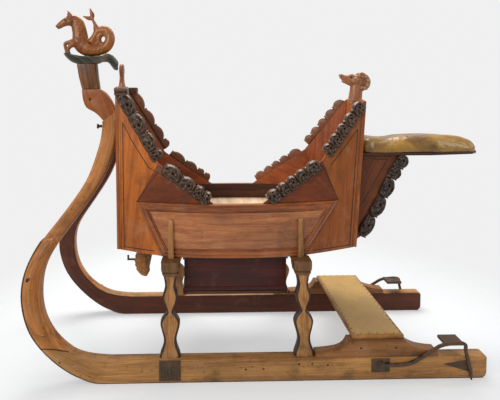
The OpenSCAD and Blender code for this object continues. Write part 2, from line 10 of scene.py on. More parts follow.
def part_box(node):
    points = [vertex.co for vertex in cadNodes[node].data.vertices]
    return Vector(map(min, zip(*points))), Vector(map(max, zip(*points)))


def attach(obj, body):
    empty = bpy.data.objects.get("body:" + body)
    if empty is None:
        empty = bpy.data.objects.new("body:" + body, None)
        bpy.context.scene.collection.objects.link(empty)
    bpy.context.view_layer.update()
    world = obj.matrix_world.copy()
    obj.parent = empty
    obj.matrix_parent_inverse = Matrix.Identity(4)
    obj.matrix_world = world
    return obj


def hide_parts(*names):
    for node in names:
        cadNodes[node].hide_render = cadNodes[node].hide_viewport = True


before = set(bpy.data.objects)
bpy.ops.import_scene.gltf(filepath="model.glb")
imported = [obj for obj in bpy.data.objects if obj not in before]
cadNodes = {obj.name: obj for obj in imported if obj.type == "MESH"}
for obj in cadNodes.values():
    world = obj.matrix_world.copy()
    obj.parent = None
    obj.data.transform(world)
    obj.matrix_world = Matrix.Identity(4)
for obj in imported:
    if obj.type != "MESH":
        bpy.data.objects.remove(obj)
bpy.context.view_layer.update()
random.seed(7)


def paint(red, green, blue):
    # screen colour 0..255 to linear
    channels = (red, green, blue)
    return tuple(((c / 255 + 0.055) / 1.055) ** 2.4 if c > 10 else c / 3294.6 for c in channels) + (1.0,)


def newGroup(name, inputs, outputs):
    group = bpy.data.node_groups.new(name, "ShaderNodeTree")
    for label, kind, value in inputs:
        socket = group.interface.new_socket(label, in_out="INPUT", socket_type=kind)
        socket.default_value = value
    for label, kind in outputs:
        group.interface.new_socket(label, in_out="OUTPUT", socket_type=kind)
    tree = group.nodes
    return group, tree, group.links, tree.new("NodeGroupInput"), tree.new("NodeGroupOutput")


def mathNode(nodes, links, operation, a, b=None, clamp=False):
    node = nodes.new("ShaderNodeMath")
    node.operation = operation
    node.use_clamp = clamp
    for slot, value in enumerate((a, b)):
        if value is None:
            continue
        if isinstance(value, (int, float)):
            node.inputs[slot].default_value = value
        else:
            links.new(value, node.inputs[slot])
    return node.outputs[0]


def mixColours(nodes, links, factor, a, b, blend="MIX"):
    node = nodes.new("ShaderNodeMix")
    node.data_type = "RGBA"
    node.blend_type = blend
    for socket, value in ((node.inputs[0], factor), (node.inputs[6], a), (node.inputs[7], b)):
        if isinstance(value, (int, float, tuple)):
            socket.default_value = value
        else:
            links.new(value, socket)
    return node.outputs[2]


def noiseNode(nodes, links, vector, scale, detail=4.0, rough=0.55, distortion=0.0):
    node = nodes.new("ShaderNodeTexNoise")
    links.new(vector, node.inputs["Vector"])
    node.inputs["Scale"].default_value = scale
    node.inputs["Detail"].default_value = detail
    node.inputs["Roughness"].default_value = rough
    node.inputs["Distortion"].default_value = distortion
    return node.outputs["Fac"]


def rangeNode(nodes, links, value, low, high, toLow=0.0, toHigh=1.0):
    node = nodes.new("ShaderNodeMapRange")
    links.new(value, node.inputs[0])
    for slot, number in zip((1, 2, 3, 4), (low, high, toLow, toHigh)):
        node.inputs[slot].default_value = number
    return node.outputs[0]


def scaledVector(nodes, links, vector, scale):
    node = nodes.new("ShaderNodeVectorMath")
    node.operation = "MULTIPLY"
    links.new(vector, node.inputs[0])
    node.inputs[1].default_value = scale
    return node.outputs[0]


def makeGrainGroup():
    # long wood grain: X of the vector runs along the fibres, in metres
    group, nodes, links, source, sink = newGroup(
        "woodGrain",
        [("Vector", "NodeSocketVector", (0, 0, 0)), ("Light", "NodeSocketColor", (0.4, 0.2, 0.1, 1)),
         ("Dark", "NodeSocketColor", (0.15, 0.06, 0.03, 1)), ("Contrast", "NodeSocketFloat", 1.0)],
        [("Color", "NodeSocketColor"), ("Height", "NodeSocketFloat"), ("Roughness", "NodeSocketFloat")])
    vector = source.outputs["Vector"]
    bands = noiseNode(nodes, links, scaledVector(nodes, links, vector, (1.6, 30, 22)), 1.0, 5, 0.62, 0.7)
    fibres = noiseNode(nodes, links, scaledVector(nodes, links, vector, (7, 260, 200)), 1.0, 3, 0.6)
    pores = noiseNode(nodes, links, scaledVector(nodes, links, vector, (28, 900, 700)), 1.0, 2, 0.5)
    patches = noiseNode(nodes, links, scaledVector(nodes, links, vector, (2.2, 5, 5)), 1.0, 3, 0.5)
    tone = mathNode(nodes, links, "ADD", mathNode(nodes, links, "MULTIPLY", bands, 0.62),
                    mathNode(nodes, links, "MULTIPLY", fibres, 0.38))
    tone = rangeNode(nodes, links, tone, 0.36, 0.64)
    centred = mathNode(nodes, links, "SUBTRACT", tone, 0.5)
    spread = mathNode(nodes, links, "MULTIPLY", centred, source.outputs["Contrast"])
    tone = mathNode(nodes, links, "ADD", spread, 0.5, clamp=True)
    colour = mixColours(nodes, links, tone, source.outputs["Dark"], source.outputs["Light"])
    shade = rangeNode(nodes, links, patches, 0.3, 0.7, 0.68, 1.18)
    value = nodes.new("ShaderNodeCombineColor")
    for slot in range(3):
        links.new(shade, value.inputs[slot])
    colour = mixColours(nodes, links, 1.0, colour, value.outputs[0], "MULTIPLY")
    dark = rangeNode(nodes, links, pores, 0.60, 0.74, 0.0, 0.5)
    colour = mixColours(nodes, links, dark, colour, (0.03, 0.014, 0.008, 1))
    links.new(colour, sink.inputs["Color"])
    height = mathNode(nodes, links, "ADD", mathNode(nodes, links, "MULTIPLY", fibres, 0.6),
                      mathNode(nodes, links, "MULTIPLY", pores, -0.5))
    links.new(height, sink.inputs["Height"])
    links.new(rangeNode(nodes, links, fibres, 0.3, 0.7, 0.05, -0.05), sink.inputs["Roughness"])
    return group


def makeAgeGroup():
    # dirt in blotches and rubbed, paler places
    group, nodes, links, source, sink = newGroup(
        "ageMarks",
        [("Color", "NodeSocketColor", (0.4, 0.2, 0.1, 1)), ("Vector", "NodeSocketVector", (0, 0, 0)),
         ("Dirt", "NodeSocketFloat", 0.5), ("Rub", "NodeSocketFloat", 0.3)],
        [("Color", "NodeSocketColor"), ("Mask", "NodeSocketFloat")])
    vector = source.outputs["Vector"]
    blots = noiseNode(nodes, links, vector, 7.0, 6, 0.65, 0.4)
    specks = noiseNode(nodes, links, vector, 55.0, 3, 0.6)
    amount = source.outputs["Dirt"]
    dirt = mathNode(nodes, links, "MULTIPLY", rangeNode(nodes, links, blots, 0.52, 0.74), amount)
    speck = mathNode(nodes, links, "MULTIPLY", rangeNode(nodes, links, specks, 0.64, 0.72), amount)
    mask = mathNode(nodes, links, "MAXIMUM", dirt, speck, clamp=True)
    colour = mixColours(nodes, links, mask, source.outputs["Color"], (0.035, 0.018, 0.010, 1))
    pale = rangeNode(nodes, links, blots, 0.44, 0.30)
    rubbed = mathNode(nodes, links, "MULTIPLY", pale, source.outputs["Rub"], clamp=True)
    colour = mixColours(nodes, links, rubbed, colour, (0.50, 0.30, 0.16, 1))
    links.new(colour, sink.inputs["Color"])
    links.new(mask, sink.inputs["Mask"])
    return group


def makeCarveGroup():
    # painted highlight on the carving's ridges and painted shade in its hollows, from the mesh's pointiness
    group, nodes, links, source, sink = newGroup(
        "carvedReliefShading",
        [("Color", "NodeSocketColor", (0.2, 0.1, 0.05, 1)), ("Ridge", "NodeSocketColor", (0.4, 0.25, 0.15, 1)),
         ("Hollow", "NodeSocketColor", (0.02, 0.012, 0.008, 1)), ("Amount", "NodeSocketFloat", 1.0)],
        [("Color", "NodeSocketColor"), ("Mask", "NodeSocketFloat")])
    geometry = nodes.new("ShaderNodeNewGeometry")
    ridge = rangeNode(nodes, links, geometry.outputs["Pointiness"], 0.51, 0.57)
    hollow = rangeNode(nodes, links, geometry.outputs["Pointiness"], 0.49, 0.43)
    ridge = mathNode(nodes, links, "MULTIPLY", ridge, source.outputs["Amount"], clamp=True)
    hollow = mathNode(nodes, links, "MULTIPLY", hollow, source.outputs["Amount"], clamp=True)
    colour = mixColours(nodes, links, ridge, source.outputs["Color"], source.outputs["Ridge"])
    colour = mixColours(nodes, links, hollow, colour, source.outputs["Hollow"])
    links.new(colour, sink.inputs["Color"])
    links.new(ridge, sink.inputs["Mask"])
    return group


grainGroup = makeGrainGroup()
ageGroup = makeAgeGroup()
carveGroup = makeCarveGroup()


def newMaterial(name):
    material = bpy.data.materials.new(name)
    material.use_nodes = True
    nodes, links = material.node_tree.nodes, material.node_tree.links
    return material, nodes, links, nodes["Principled BSDF"]


def placeGroup(nodes, group, **values):
    node = nodes.new("ShaderNodeGroup")
    node.node_tree = group
    for label, value in values.items():
        node.inputs[label].default_value = value
    return node


def addBump(nodes, links, shader, height, strength, distance):
    bump = nodes.new("ShaderNodeBump")
    bump.inputs["Strength"].default_value = strength
    bump.inputs["Distance"].default_value = distance
    links.new(height, bump.inputs["Height"])
    links.new(bump.outputs[0], shader.inputs["Normal"])
    return bump


def grainVector(nodes):
    node = nodes.new("ShaderNodeAttribute")
    node.attribute_name = "grainPos"
    return node.outputs["Vector"]


def woodMaterial(name, light, dark, roughness=0.42, coat=0.12, dirt=0.5, rub=0.25, contrast=1.0, carve=None):
    material, nodes, links, shader = newMaterial(name)
    vector = grainVector(nodes)
    grain = placeGroup(nodes, grainGroup, Light=light, Dark=dark, Contrast=contrast)
    links.new(vector, grain.inputs["Vector"])
    age = placeGroup(nodes, ageGroup, Dirt=dirt, Rub=rub)
    links.new(vector, age.inputs["Vector"])
    links.new(grain.outputs["Color"], age.inputs["Color"])
    colour = age.outputs["Color"]
    # carved pieces get a painted highlight on their ridges and painted shade in their hollows
    if carve:
        reliefShading = placeGroup(nodes, carveGroup, Ridge=carve["ridge"], Hollow=carve["hollow"],
                          Amount=carve["amount"])
        links.new(colour, reliefShading.inputs["Color"])
        colour = reliefShading.outputs["Color"]
    links.new(colour, shader.inputs["Base Color"])
    rough = mathNode(nodes, links, "ADD", grain.outputs["Roughness"], roughness)
    dull = mathNode(nodes, links, "MULTIPLY", age.outputs["Mask"], 0.25)
    rough = mathNode(nodes, links, "ADD", rough, dull, clamp=True)
    links.new(rough, shader.inputs["Roughness"])
    shader.inputs["Coat Weight"].default_value = coat
    shader.inputs["Coat Roughness"].default_value = 0.22
    shader.inputs["Specular IOR Level"].default_value = 0.3
    addBump(nodes, links, shader, grain.outputs["Height"], 0.35, 0.0012)
    return material


# colours of the painted ridge highlight and the painted hollow shade on carvings
carvedEdges = dict(ridge=paint(98, 70, 49), hollow=paint(20, 14, 10), amount=0.8)
woods = dict(
    # the hull oak in lit and shaded copies: the front panel lighter, the upper triangles and the rear darker,
    # as painted light and shade
    hull=woodMaterial("hullOak", paint(210, 120, 40), paint(155, 74, 17), contrast=0.9),
    redBoard=woodMaterial("redBoard", paint(139, 70, 34), paint(85, 38, 16), contrast=0.9),
    # the inner faces' colour is lightened as painted light inside the hull
    inside=woodMaterial("insideBoard", paint(180, 95, 45), paint(118, 56, 23), roughness=0.5, coat=0.1),
    runner=woodMaterial("runnerAsh", paint(194, 140, 76), paint(125, 79, 38), dirt=0.7, rub=0.35, coat=0.15),
    horn=woodMaterial("hornAsh", paint(210, 135, 62), paint(137, 79, 31), dirt=0.7, rub=0.3, coat=0.15),
    innerSide=woodMaterial("shadedAsh", paint(104, 47, 14), paint(65, 24, 7), dirt=0.7, rub=0.1, coat=0.05),
    bracket=woodMaterial("bracketOak", paint(123, 63, 23), paint(83, 38, 11), roughness=0.45),
    # the scallop boards' colour is lightened as painted light, for the far crests seen inside the hull
    scallop=woodMaterial("scallopBoard", paint(154, 90, 46), paint(99, 53, 26), roughness=0.4, coat=0.2),
    shadedRearHull=woodMaterial("shadedRearOak", paint(165, 91, 32), paint(120, 55, 13), contrast=0.9),
    block=woodMaterial("blockOak", paint(177, 102, 40), paint(129, 63, 17), contrast=0.9),
    heel=woodMaterial("heelAsh", paint(165, 109, 55), paint(105, 61, 26), dirt=0.7),
    # the seat's near-white colour is a painted reflection of the bright light above
    seat=woodMaterial("seatPaintedGlare", paint(238, 212, 182), paint(208, 172, 134), roughness=0.4, dirt=0.2),
    corbel=woodMaterial("corbelOak", paint(187, 125, 63), paint(117, 71, 32), carve=carvedEdges),
    # a darker copy of the carving wood, as painted shade for the brackets
    shadedCarving=woodMaterial("shadedCarving", paint(64, 44, 31), paint(30, 20, 14), roughness=0.36, coat=0.3,
                            carve=dict(ridge=paint(78, 54, 38), hollow=paint(14, 10, 7), amount=0.7)),
    dark=woodMaterial("darkBoard", paint(94, 50, 26), paint(48, 23, 11), dirt=0.7, rub=0.1),
    moulding=woodMaterial("mouldingOak", paint(170, 95, 46), paint(96, 48, 20), roughness=0.34, coat=0.4),
    post=woodMaterial("postOak", paint(203, 145, 82), paint(124, 78, 40), dirt=0.7, rub=0.4),
    figure=woodMaterial("figurePear", paint(162, 92, 13), paint(108, 49, 7), roughness=0.36, coat=0.35,
                        dirt=0.4,
                        carve=dict(ridge=paint(190, 130, 84), hollow=paint(70, 38, 24), amount=0.35)),
    carved=woodMaterial("carvedDark", paint(88, 62, 39), paint(43, 29, 18), roughness=0.36, coat=0.3, dirt=0.4,
                        rub=0.2, carve=carvedEdges),
    capital=woodMaterial("capitalOak", paint(128, 86, 40), paint(62, 39, 16), roughness=0.4, coat=0.3,
                         carve=carvedEdges),
    base=woodMaterial("wavePaint", paint(56, 54, 41), paint(27, 24, 17), roughness=0.5, coat=0.1,
                      carve=dict(ridge=paint(110, 108, 92), hollow=paint(18, 18, 15), amount=0.8)),
    shadedHull=woodMaterial("shadedHull", paint(132, 62, 19), paint(90, 35, 7), contrast=0.9),
    field=woodMaterial("fieldBoard", paint(191, 123, 73), paint(137, 75, 41), roughness=0.36, coat=0.4),
    # the foot well's very dark colour is partly painted shade under the hull
    well=woodMaterial("wellBoard", paint(84, 25, 7), paint(49, 11, 7), dirt=0.6, rub=0.1),
    postEdge=woodMaterial("postEdge", paint(72, 50, 34), paint(36, 24, 17), dirt=0.6, rub=0.1),
    foot=woodMaterial("footDeal", paint(193, 138, 75), paint(135, 86, 42), dirt=0.6, rub=0.3),
    stained=woodMaterial("stainedPear", paint(128, 78, 36), paint(55, 31, 13), dirt=0.9, contrast=1.4),
    # the rear head is lightened partly as painted highlight, and its pale ridge colour is a painted highlight
    headWood=woodMaterial("headPear", paint(177, 114, 65), paint(110, 62, 30), roughness=0.32, coat=0.5,
                          dirt=0.6,
                          carve=dict(ridge=paint(206, 176, 140), hollow=paint(50, 32, 22), amount=0.9)),
    inlay=woodMaterial("inlayDark", paint(70, 40, 26), paint(34, 20, 14), roughness=0.5, coat=0.1),
)


def ironMaterial():
    material, nodes, links, shader = newMaterial("forgedIron")
    vector = grainVector(nodes)
    rust = rangeNode(nodes, links, noiseNode(nodes, links, vector, 42.0, 6, 0.65), 0.46, 0.62)
    pits = noiseNode(nodes, links, vector, 190.0, 3, 0.6)
    colour = mixColours(nodes, links, rust, paint(86, 74, 62), paint(104, 68, 42))
    links.new(colour, shader.inputs["Base Color"])
    links.new(rangeNode(nodes, links, rust, 0, 1, 0.85, 0.15), shader.inputs["Metallic"])
    links.new(rangeNode(nodes, links, rust, 0, 1, 0.42, 0.78), shader.inputs["Roughness"])
    addBump(nodes, links, shader, pits, 0.5, 0.001)
    return material


def brassMaterial():
    material, nodes, links, shader = newMaterial("oldBrass")
    tarnish = rangeNode(nodes, links, noiseNode(nodes, links, grainVector(nodes), 160.0, 4, 0.6), 0.42, 0.65)
    colour = mixColours(nodes, links, tarnish, paint(206, 168, 92), paint(104, 76, 40))
    links.new(colour, shader.inputs["Base Color"])
    links.new(rangeNode(nodes, links, tarnish, 0, 1, 0.25, 0.5), shader.inputs["Roughness"])
    shader.inputs["Metallic"].default_value = 1.0
    return material


def leatherMaterial():
    # glossy golden-olive hide with wrinkles and darker worn places
    material, nodes, links, shader = newMaterial("saddleLeather")
    vector = grainVector(nodes)
    large = noiseNode(nodes, links, vector, 9.0, 5, 0.6, 0.5)
    folds = noiseNode(nodes, links, scaledVector(nodes, links, vector, (14, 40, 40)), 1.0, 5, 0.6, 0.8)
    pebbles = nodes.new("ShaderNodeTexVoronoi")
    links.new(vector, pebbles.inputs["Vector"])
    pebbles.inputs["Scale"].default_value = 420.0
    colour = mixColours(nodes, links, rangeNode(nodes, links, large, 0.35, 0.65), paint(98, 64, 12),
                        paint(160, 118, 32))
    creases = rangeNode(nodes, links, folds, 0.58, 0.72, 0, 0.7)
    colour = mixColours(nodes, links, creases, colour, paint(72, 42, 10))
    links.new(colour, shader.inputs["Base Color"])
    links.new(rangeNode(nodes, links, folds, 0.3, 0.7, 0.24, 0.42), shader.inputs["Roughness"])
    shader.inputs["Coat Weight"].default_value = 0.45
    shader.inputs["Coat Roughness"].default_value = 0.14
    height = mathNode(nodes, links, "ADD", mathNode(nodes, links, "MULTIPLY", folds, 1.0),
                      mathNode(nodes, links, "MULTIPLY", pebbles.outputs["Distance"], 0.12))
    addBump(nodes, links, shader, height, 0.6, 0.004)
    return material


def matMaterial():
    # coarse over-and-under weave, 9 mm strands
    material, nodes, links, shader = newMaterial("wovenMat")
    vector = grainVector(nodes)
    split = nodes.new("ShaderNodeSeparateXYZ")
    links.new(vector, split.inputs[0])
    strand = 700.0
    along = mathNode(nodes, links, "SINE", mathNode(nodes, links, "MULTIPLY", split.outputs[0], strand))
    across = mathNode(nodes, links, "SINE", mathNode(nodes, links, "MULTIPLY", split.outputs[1], strand))
    weave = mathNode(nodes, links, "MULTIPLY", along, across)
    fuzz = noiseNode(nodes, links, vector, 320.0, 4, 0.7)
    tone = mathNode(nodes, links, "ADD", mathNode(nodes, links, "MULTIPLY", weave, 0.22), fuzz)
    colour = mixColours(nodes, links, rangeNode(nodes, links, tone, 0.25, 0.8), paint(138, 98, 38),
                        paint(220, 174, 86))
    soil = rangeNode(nodes, links, noiseNode(nodes, links, vector, 6.0, 4, 0.6), 0.45, 0.7, 0.0, 0.45)
    colour = mixColours(nodes, links, soil, colour, paint(120, 92, 56))
    links.new(colour, shader.inputs["Base Color"])
    shader.inputs["Roughness"].default_value = 0.88
    shader.inputs["Sheen Weight"].default_value = 0.3
    addBump(nodes, links, shader, tone, 0.8, 0.002)
    return material


iron = ironMaterial()
brass = brassMaterial()
leather = leatherMaterial()
matting = matMaterial()
print("materials made")


def addPiece(name, mesh, body="sleigh", materials=(), replaces=()):
    piece = bpy.data.objects.new(name, mesh)
    bpy.context.scene.collection.objects.link(piece)
    for material in materials:
        mesh.materials.append(material)
    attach(piece, body)
    if replaces:
        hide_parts(*replaces)
    return piece


def meshFrom(name, verts, faces, smoothAngle=35):
    mesh = bpy.data.meshes.new(name)
    mesh.from_pydata([tuple(v) for v in verts], [], faces)
    mesh.update()
    return finishMesh(mesh, smoothAngle)


def finishMesh(mesh, smoothAngle=35):
    bm = bmesh.new()
    bm.from_mesh(mesh)
    bmesh.ops.recalc_face_normals(bm, faces=bm.faces)
    bm.to_mesh(mesh)
    bm.free()
    for polygon in mesh.polygons:
        polygon.use_smooth = True
    mesh.set_sharp_from_angle(angle=math.radians(smoothAngle))
    return mesh


def applyModifiers(piece):
    graph = bpy.context.evaluated_depsgraph_get()
    mesh = bpy.data.meshes.new_from_object(piece.evaluated_get(graph))
    piece.modifiers.clear()
    piece.data = mesh
    return piece


def setGrain(mesh, direction=(1, 0, 0), shift=None):
    # stores, for every vertex, its place along and across the fibres
    if shift is None:
        shift = Vector((random.uniform(-9, 9), random.uniform(-9, 9), random.uniform(-9, 9)))
    data = mesh.attributes.get("grainPos") or mesh.attributes.new("grainPos", "FLOAT_VECTOR", "POINT")
    along = Vector(direction).normalized()
    side = along.cross(Vector((0, 1, 0)))
    if side.length < 0.1:
        side = along.cross(Vector((0, 0, 1)))
    side.normalize()
    third = along.cross(side)
    for vertex in mesh.vertices:
        co = vertex.co
        data.data[vertex.index].vector = Vector((co.dot(along), co.dot(side), co.dot(third))) + shift
    return mesh


def softBoard(node, material, bevel=0.002, segments=2, direction=(1, 0, 0), slot="oak", angle=25,
              body="sleigh"):
    # the CAD solid with eased edges
    bm = bmesh.new()
    bm.from_mesh(cadNodes[node].data)
    bmesh.ops.remove_doubles(bm, verts=bm.verts, dist=1e-5)
    bmesh.ops.dissolve_limit(bm, angle_limit=math.radians(0.6), verts=bm.verts, edges=bm.edges)
    mesh = bpy.data.meshes.new(node)
    bm.to_mesh(mesh)
    bm.free()
    ending = "_iron" if slot == "iron" else "_wood"
    piece = addPiece(node + ending, mesh, body, [material], [node])
    modifier = piece.modifiers.new("ease", "BEVEL")
    modifier.width = bevel
    modifier.segments = segments
    modifier.limit_method = "ANGLE"
    modifier.angle_limit = math.radians(angle)
    applyModifiers(piece)
    finishMesh(piece.data, 30)
    setGrain(piece.data, direction)


def smoothRows(rows, steps):
    # Catmull-Rom through rows of numbers
    out = []
    for i in range(len(rows) - 1):
        a, b = rows[max(i - 1, 0)], rows[i]
        c, d = rows[i + 1], rows[min(i + 2, len(rows) - 1)]
        for k in range(steps):
            t = k / steps
            out.append([(2 * q + (r - p) * t + (2 * p - 5 * q + 4 * r - s) * t * t
                         + (3 * q - p - 3 * r + s) * t ** 3) / 2 for p, q, r, s in zip(a, b, c, d)])
    out.append(list(rows[-1]))
    return out


def loftFaces(rings, sides):
    # a tube of rings with both ends shut
    faces = []
    for i in range(rings - 1):
        for j in range(sides):
            a, b = i * sides + j, i * sides + (j + 1) % sides
            faces.append((a, b, b + sides, a + sides))
    faces.append(tuple(range(sides)))
    faces.append(tuple(range((rings - 1) * sides, rings * sides)))
    return faces


def limbMesh(name, rows, steps=6, sides=20, y=0.0):
    # a round form beside the middle plane: rows are x, z, radius in the plane and half width
    path = smoothRows(rows, steps)
    verts = []
    for i, (x, z, radius, width) in enumerate(path):
        ahead, behind = path[min(i + 1, len(path) - 1)], path[max(i - 1, 0)]
        d = Vector((ahead[0] - behind[0], ahead[1] - behind[1])).normalized()
        for j in range(sides):
            a = 2 * math.pi * j / sides
            verts.append((x - d.y * radius * math.cos(a), y + width * math.sin(a),
                          z + d.x * radius * math.cos(a)))
    return meshFrom(name, verts, loftFaces(len(path), sides))


def joined(name, meshes):
    bm = bmesh.new()
    for mesh in meshes:
        bm.from_mesh(mesh)
    out = bpy.data.meshes.new(name)
    bm.to_mesh(out)
    bm.free()
    return out


def fused(name, meshes, voxel, smoothing=4):
    # several closed forms melted into one skin
    mesh = joined(name, meshes)
    piece = bpy.data.objects.new(name, mesh)
    bpy.context.scene.collection.objects.link(piece)
    remesh = piece.modifiers.new("melt", "REMESH")
    remesh.mode = "VOXEL"
    remesh.voxel_size = voxel
    relax = piece.modifiers.new("relax", "SMOOTH")
    relax.iterations = smoothing
    relax.factor = 0.5
    applyModifiers(piece)
    out = piece.data
    bpy.data.objects.remove(piece)
    return finishMesh(out, 60)


def ballMesh(name, centre, radii, segments=16):
    bm = bmesh.new()
    bmesh.ops.create_uvsphere(bm, u_segments=segments, v_segments=segments // 2 + 2, radius=1.0)
    bm.transform(Matrix.Translation(centre) @ Matrix.Diagonal((*radii, 1)))
    mesh = bpy.data.meshes.new(name)
    bm.to_mesh(mesh)
    bm.free()
    return mesh


def mirrored(mesh, name):
    out = mesh.copy()
    out.name = name
    out.transform(Matrix.Scale(-1, 4, (0, 1, 0)))
    out.flip_normals()
    return out


sides = (("left", -1), ("right", 1))

# hull shape, from the frame
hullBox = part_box("middle_panel_right")
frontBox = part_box("front_panel_right")
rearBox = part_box("rear_panel_right")
hull = dict(bowRadius=1.905, width=0.490, board=0.016, front=frontBox[0].x, low=hullBox[0].z,
            sill=hullBox[1].z, frontTop=frontBox[1].z, rearTop=rearBox[1].z, endRise=0.016, rearLean=0.042)
hull["rear"] = rearBox[1].x - hull["rearLean"]
hull["middle"] = (hull["front"] + hull["rear"]) / 2
hull["length"] = hull["rear"] - hull["front"]


def hullY(x, out=0.0):
    r = hull["bowRadius"] + out
    return hull["width"] / 2 - hull["bowRadius"] + math.sqrt(r * r - (x - hull["middle"]) ** 2)


corner = dict(
    b0=(hull["front"] + 0.203, hull["low"]), b1=(hull["rear"] - 0.259, hull["low"]),
    t0=(hull["front"] + 0.084, hull["sill"]), t1=(hull["rear"] - 0.084, hull["sill"]),
    p1=(hull["front"] + 0.190, hull["sill"] + 0.352 * (hull["frontTop"] - hull["sill"])),
    p2=(hull["front"] + 0.396 * hull["length"], hull["sill"]),
    p3=(hull["rear"] - 0.400 * hull["length"], hull["sill"]),
    p4=(hull["rear"] - 0.167, hull["sill"] + 0.414 * (hull["rearTop"] - hull["sill"])),
    f0=(hull["front"], hull["low"] + hull["endRise"]), f1=(hull["front"], hull["frontTop"]),
    r0=(hull["rear"], hull["low"] + hull["endRise"]), r1=(hull["rear"] + hull["rearLean"], hull["rearTop"]))


def bentMesh(name, outline, inner, outer, step=0.02, bevel=0.0):
    # a board cut to an outline in side view and bent to the hull's right side
    bm = bmesh.new()
    bm.faces.new([bm.verts.new((x, 0, z)) for x, z in outline])
    low, high = min(p[0] for p in outline), max(p[0] for p in outline)
    cuts = int((high - low) / step)
    for i in range(1, cuts):
        x = low + (high - low) * i / cuts
        bmesh.ops.bisect_plane(bm, geom=bm.verts[:] + bm.edges[:] + bm.faces[:], plane_co=(x, 0, 0),
                               plane_no=(1, 0, 0))
    first = list(bm.verts)
    grown = bmesh.ops.extrude_face_region(bm, geom=bm.faces[:])
    moved = [v for v in grown["geom"] if isinstance(v, bmesh.types.BMVert)]
    for v in first:
        v.co.y = hullY(v.co.x, inner)
    for v in moved:
        v.co.y = hullY(v.co.x, outer)
    bmesh.ops.recalc_face_normals(bm, faces=bm.faces)
    if bevel:
        edges = [e for e in bm.edges if len(e.link_faces) == 2 and e.calc_face_angle(0) > math.radians(40)]
        bmesh.ops.bevel(bm, geom=edges, offset=bevel, segments=2, affect="EDGES", profile=0.6)
    mesh = bpy.data.meshes.new(name)
    bm.to_mesh(mesh)
    bm.free()
    return finishMesh(mesh, 30)


def bandOutline(points, width):
    # a line in side view thickened to a band
    left, right = [], []
    for i, p in enumerate(points):
        a, b = points[max(i - 1, 0)], points[min(i + 1, len(points) - 1)]
        d = Vector((b[0] - a[0], b[1] - a[1])).normalized()
        left.append((p[0] - d.y * width / 2, p[1] + d.x * width / 2))
        right.append((p[0] + d.y * width / 2, p[1] - d.x * width / 2))
    return left + right[::-1]


view = dict(place=(-0.285, -2.422, 1.327), yaw=1.358, pitch=3.359, roll=0.124, lens=34.24,
            shiftX=0.07, shiftY=-0.17)


def makeCamera():
    data = bpy.data.cameras.new("camera")
    data.lens = view["lens"]
    data.sensor_width = 36.0
    data.shift_x = view["shiftX"]
    data.shift_y = view["shiftY"]
    camera = bpy.data.objects.new("camera", data)
    camera.location = view["place"]
    camera.rotation_euler = (math.radians(90 - view["pitch"]), math.radians(view["roll"]),
                             math.radians(-view["yaw"]))
    bpy.context.scene.collection.objects.link(camera)
    bpy.context.scene.camera = camera


def addLight(name, place, target, size, power, colour=(1, 1, 1)):
    data = bpy.data.lights.new(name, "AREA")
    data.shape = "RECTANGLE"
    data.size, data.size_y = size
    data.energy = power
    data.color = colour
    lamp = bpy.data.objects.new(name, data)
    lamp.location = place
    lamp.rotation_euler = (Vector(target) - Vector(place)).to_track_quat("-Z", "Y").to_euler()
    bpy.context.scene.collection.objects.link(lamp)


def makeFadeGroup():
    # 1 near the middle of the floor, falling to 0 further out
    group, nodes, links, given, out = newGroup("floorFade", [("Vector", "NodeSocketVector", (0, 0, 0)),
                                                             ("Near", "NodeSocketFloat", 1.0),
                                                             ("Most", "NodeSocketFloat", 1.0),
                                                             ("Far", "NodeSocketFloat", 2.0)],
                                               [("Mask", "NodeSocketFloat")])
    length = nodes.new("ShaderNodeVectorMath")
    length.operation = "LENGTH"
    links.new(given.outputs["Vector"], length.inputs[0])
    ramp = nodes.new("ShaderNodeMapRange")
    ramp.interpolation_type = "SMOOTHSTEP"
    links.new(length.outputs["Value"], ramp.inputs["Value"])
    links.new(given.outputs["Near"], ramp.inputs["From Min"])
    links.new(given.outputs["Far"], ramp.inputs["From Max"])
    links.new(given.outputs["Most"], ramp.inputs["To Min"])
    ramp.inputs["To Max"].default_value = 0.0
    links.new(ramp.outputs["Result"], out.inputs["Mask"])
    return group


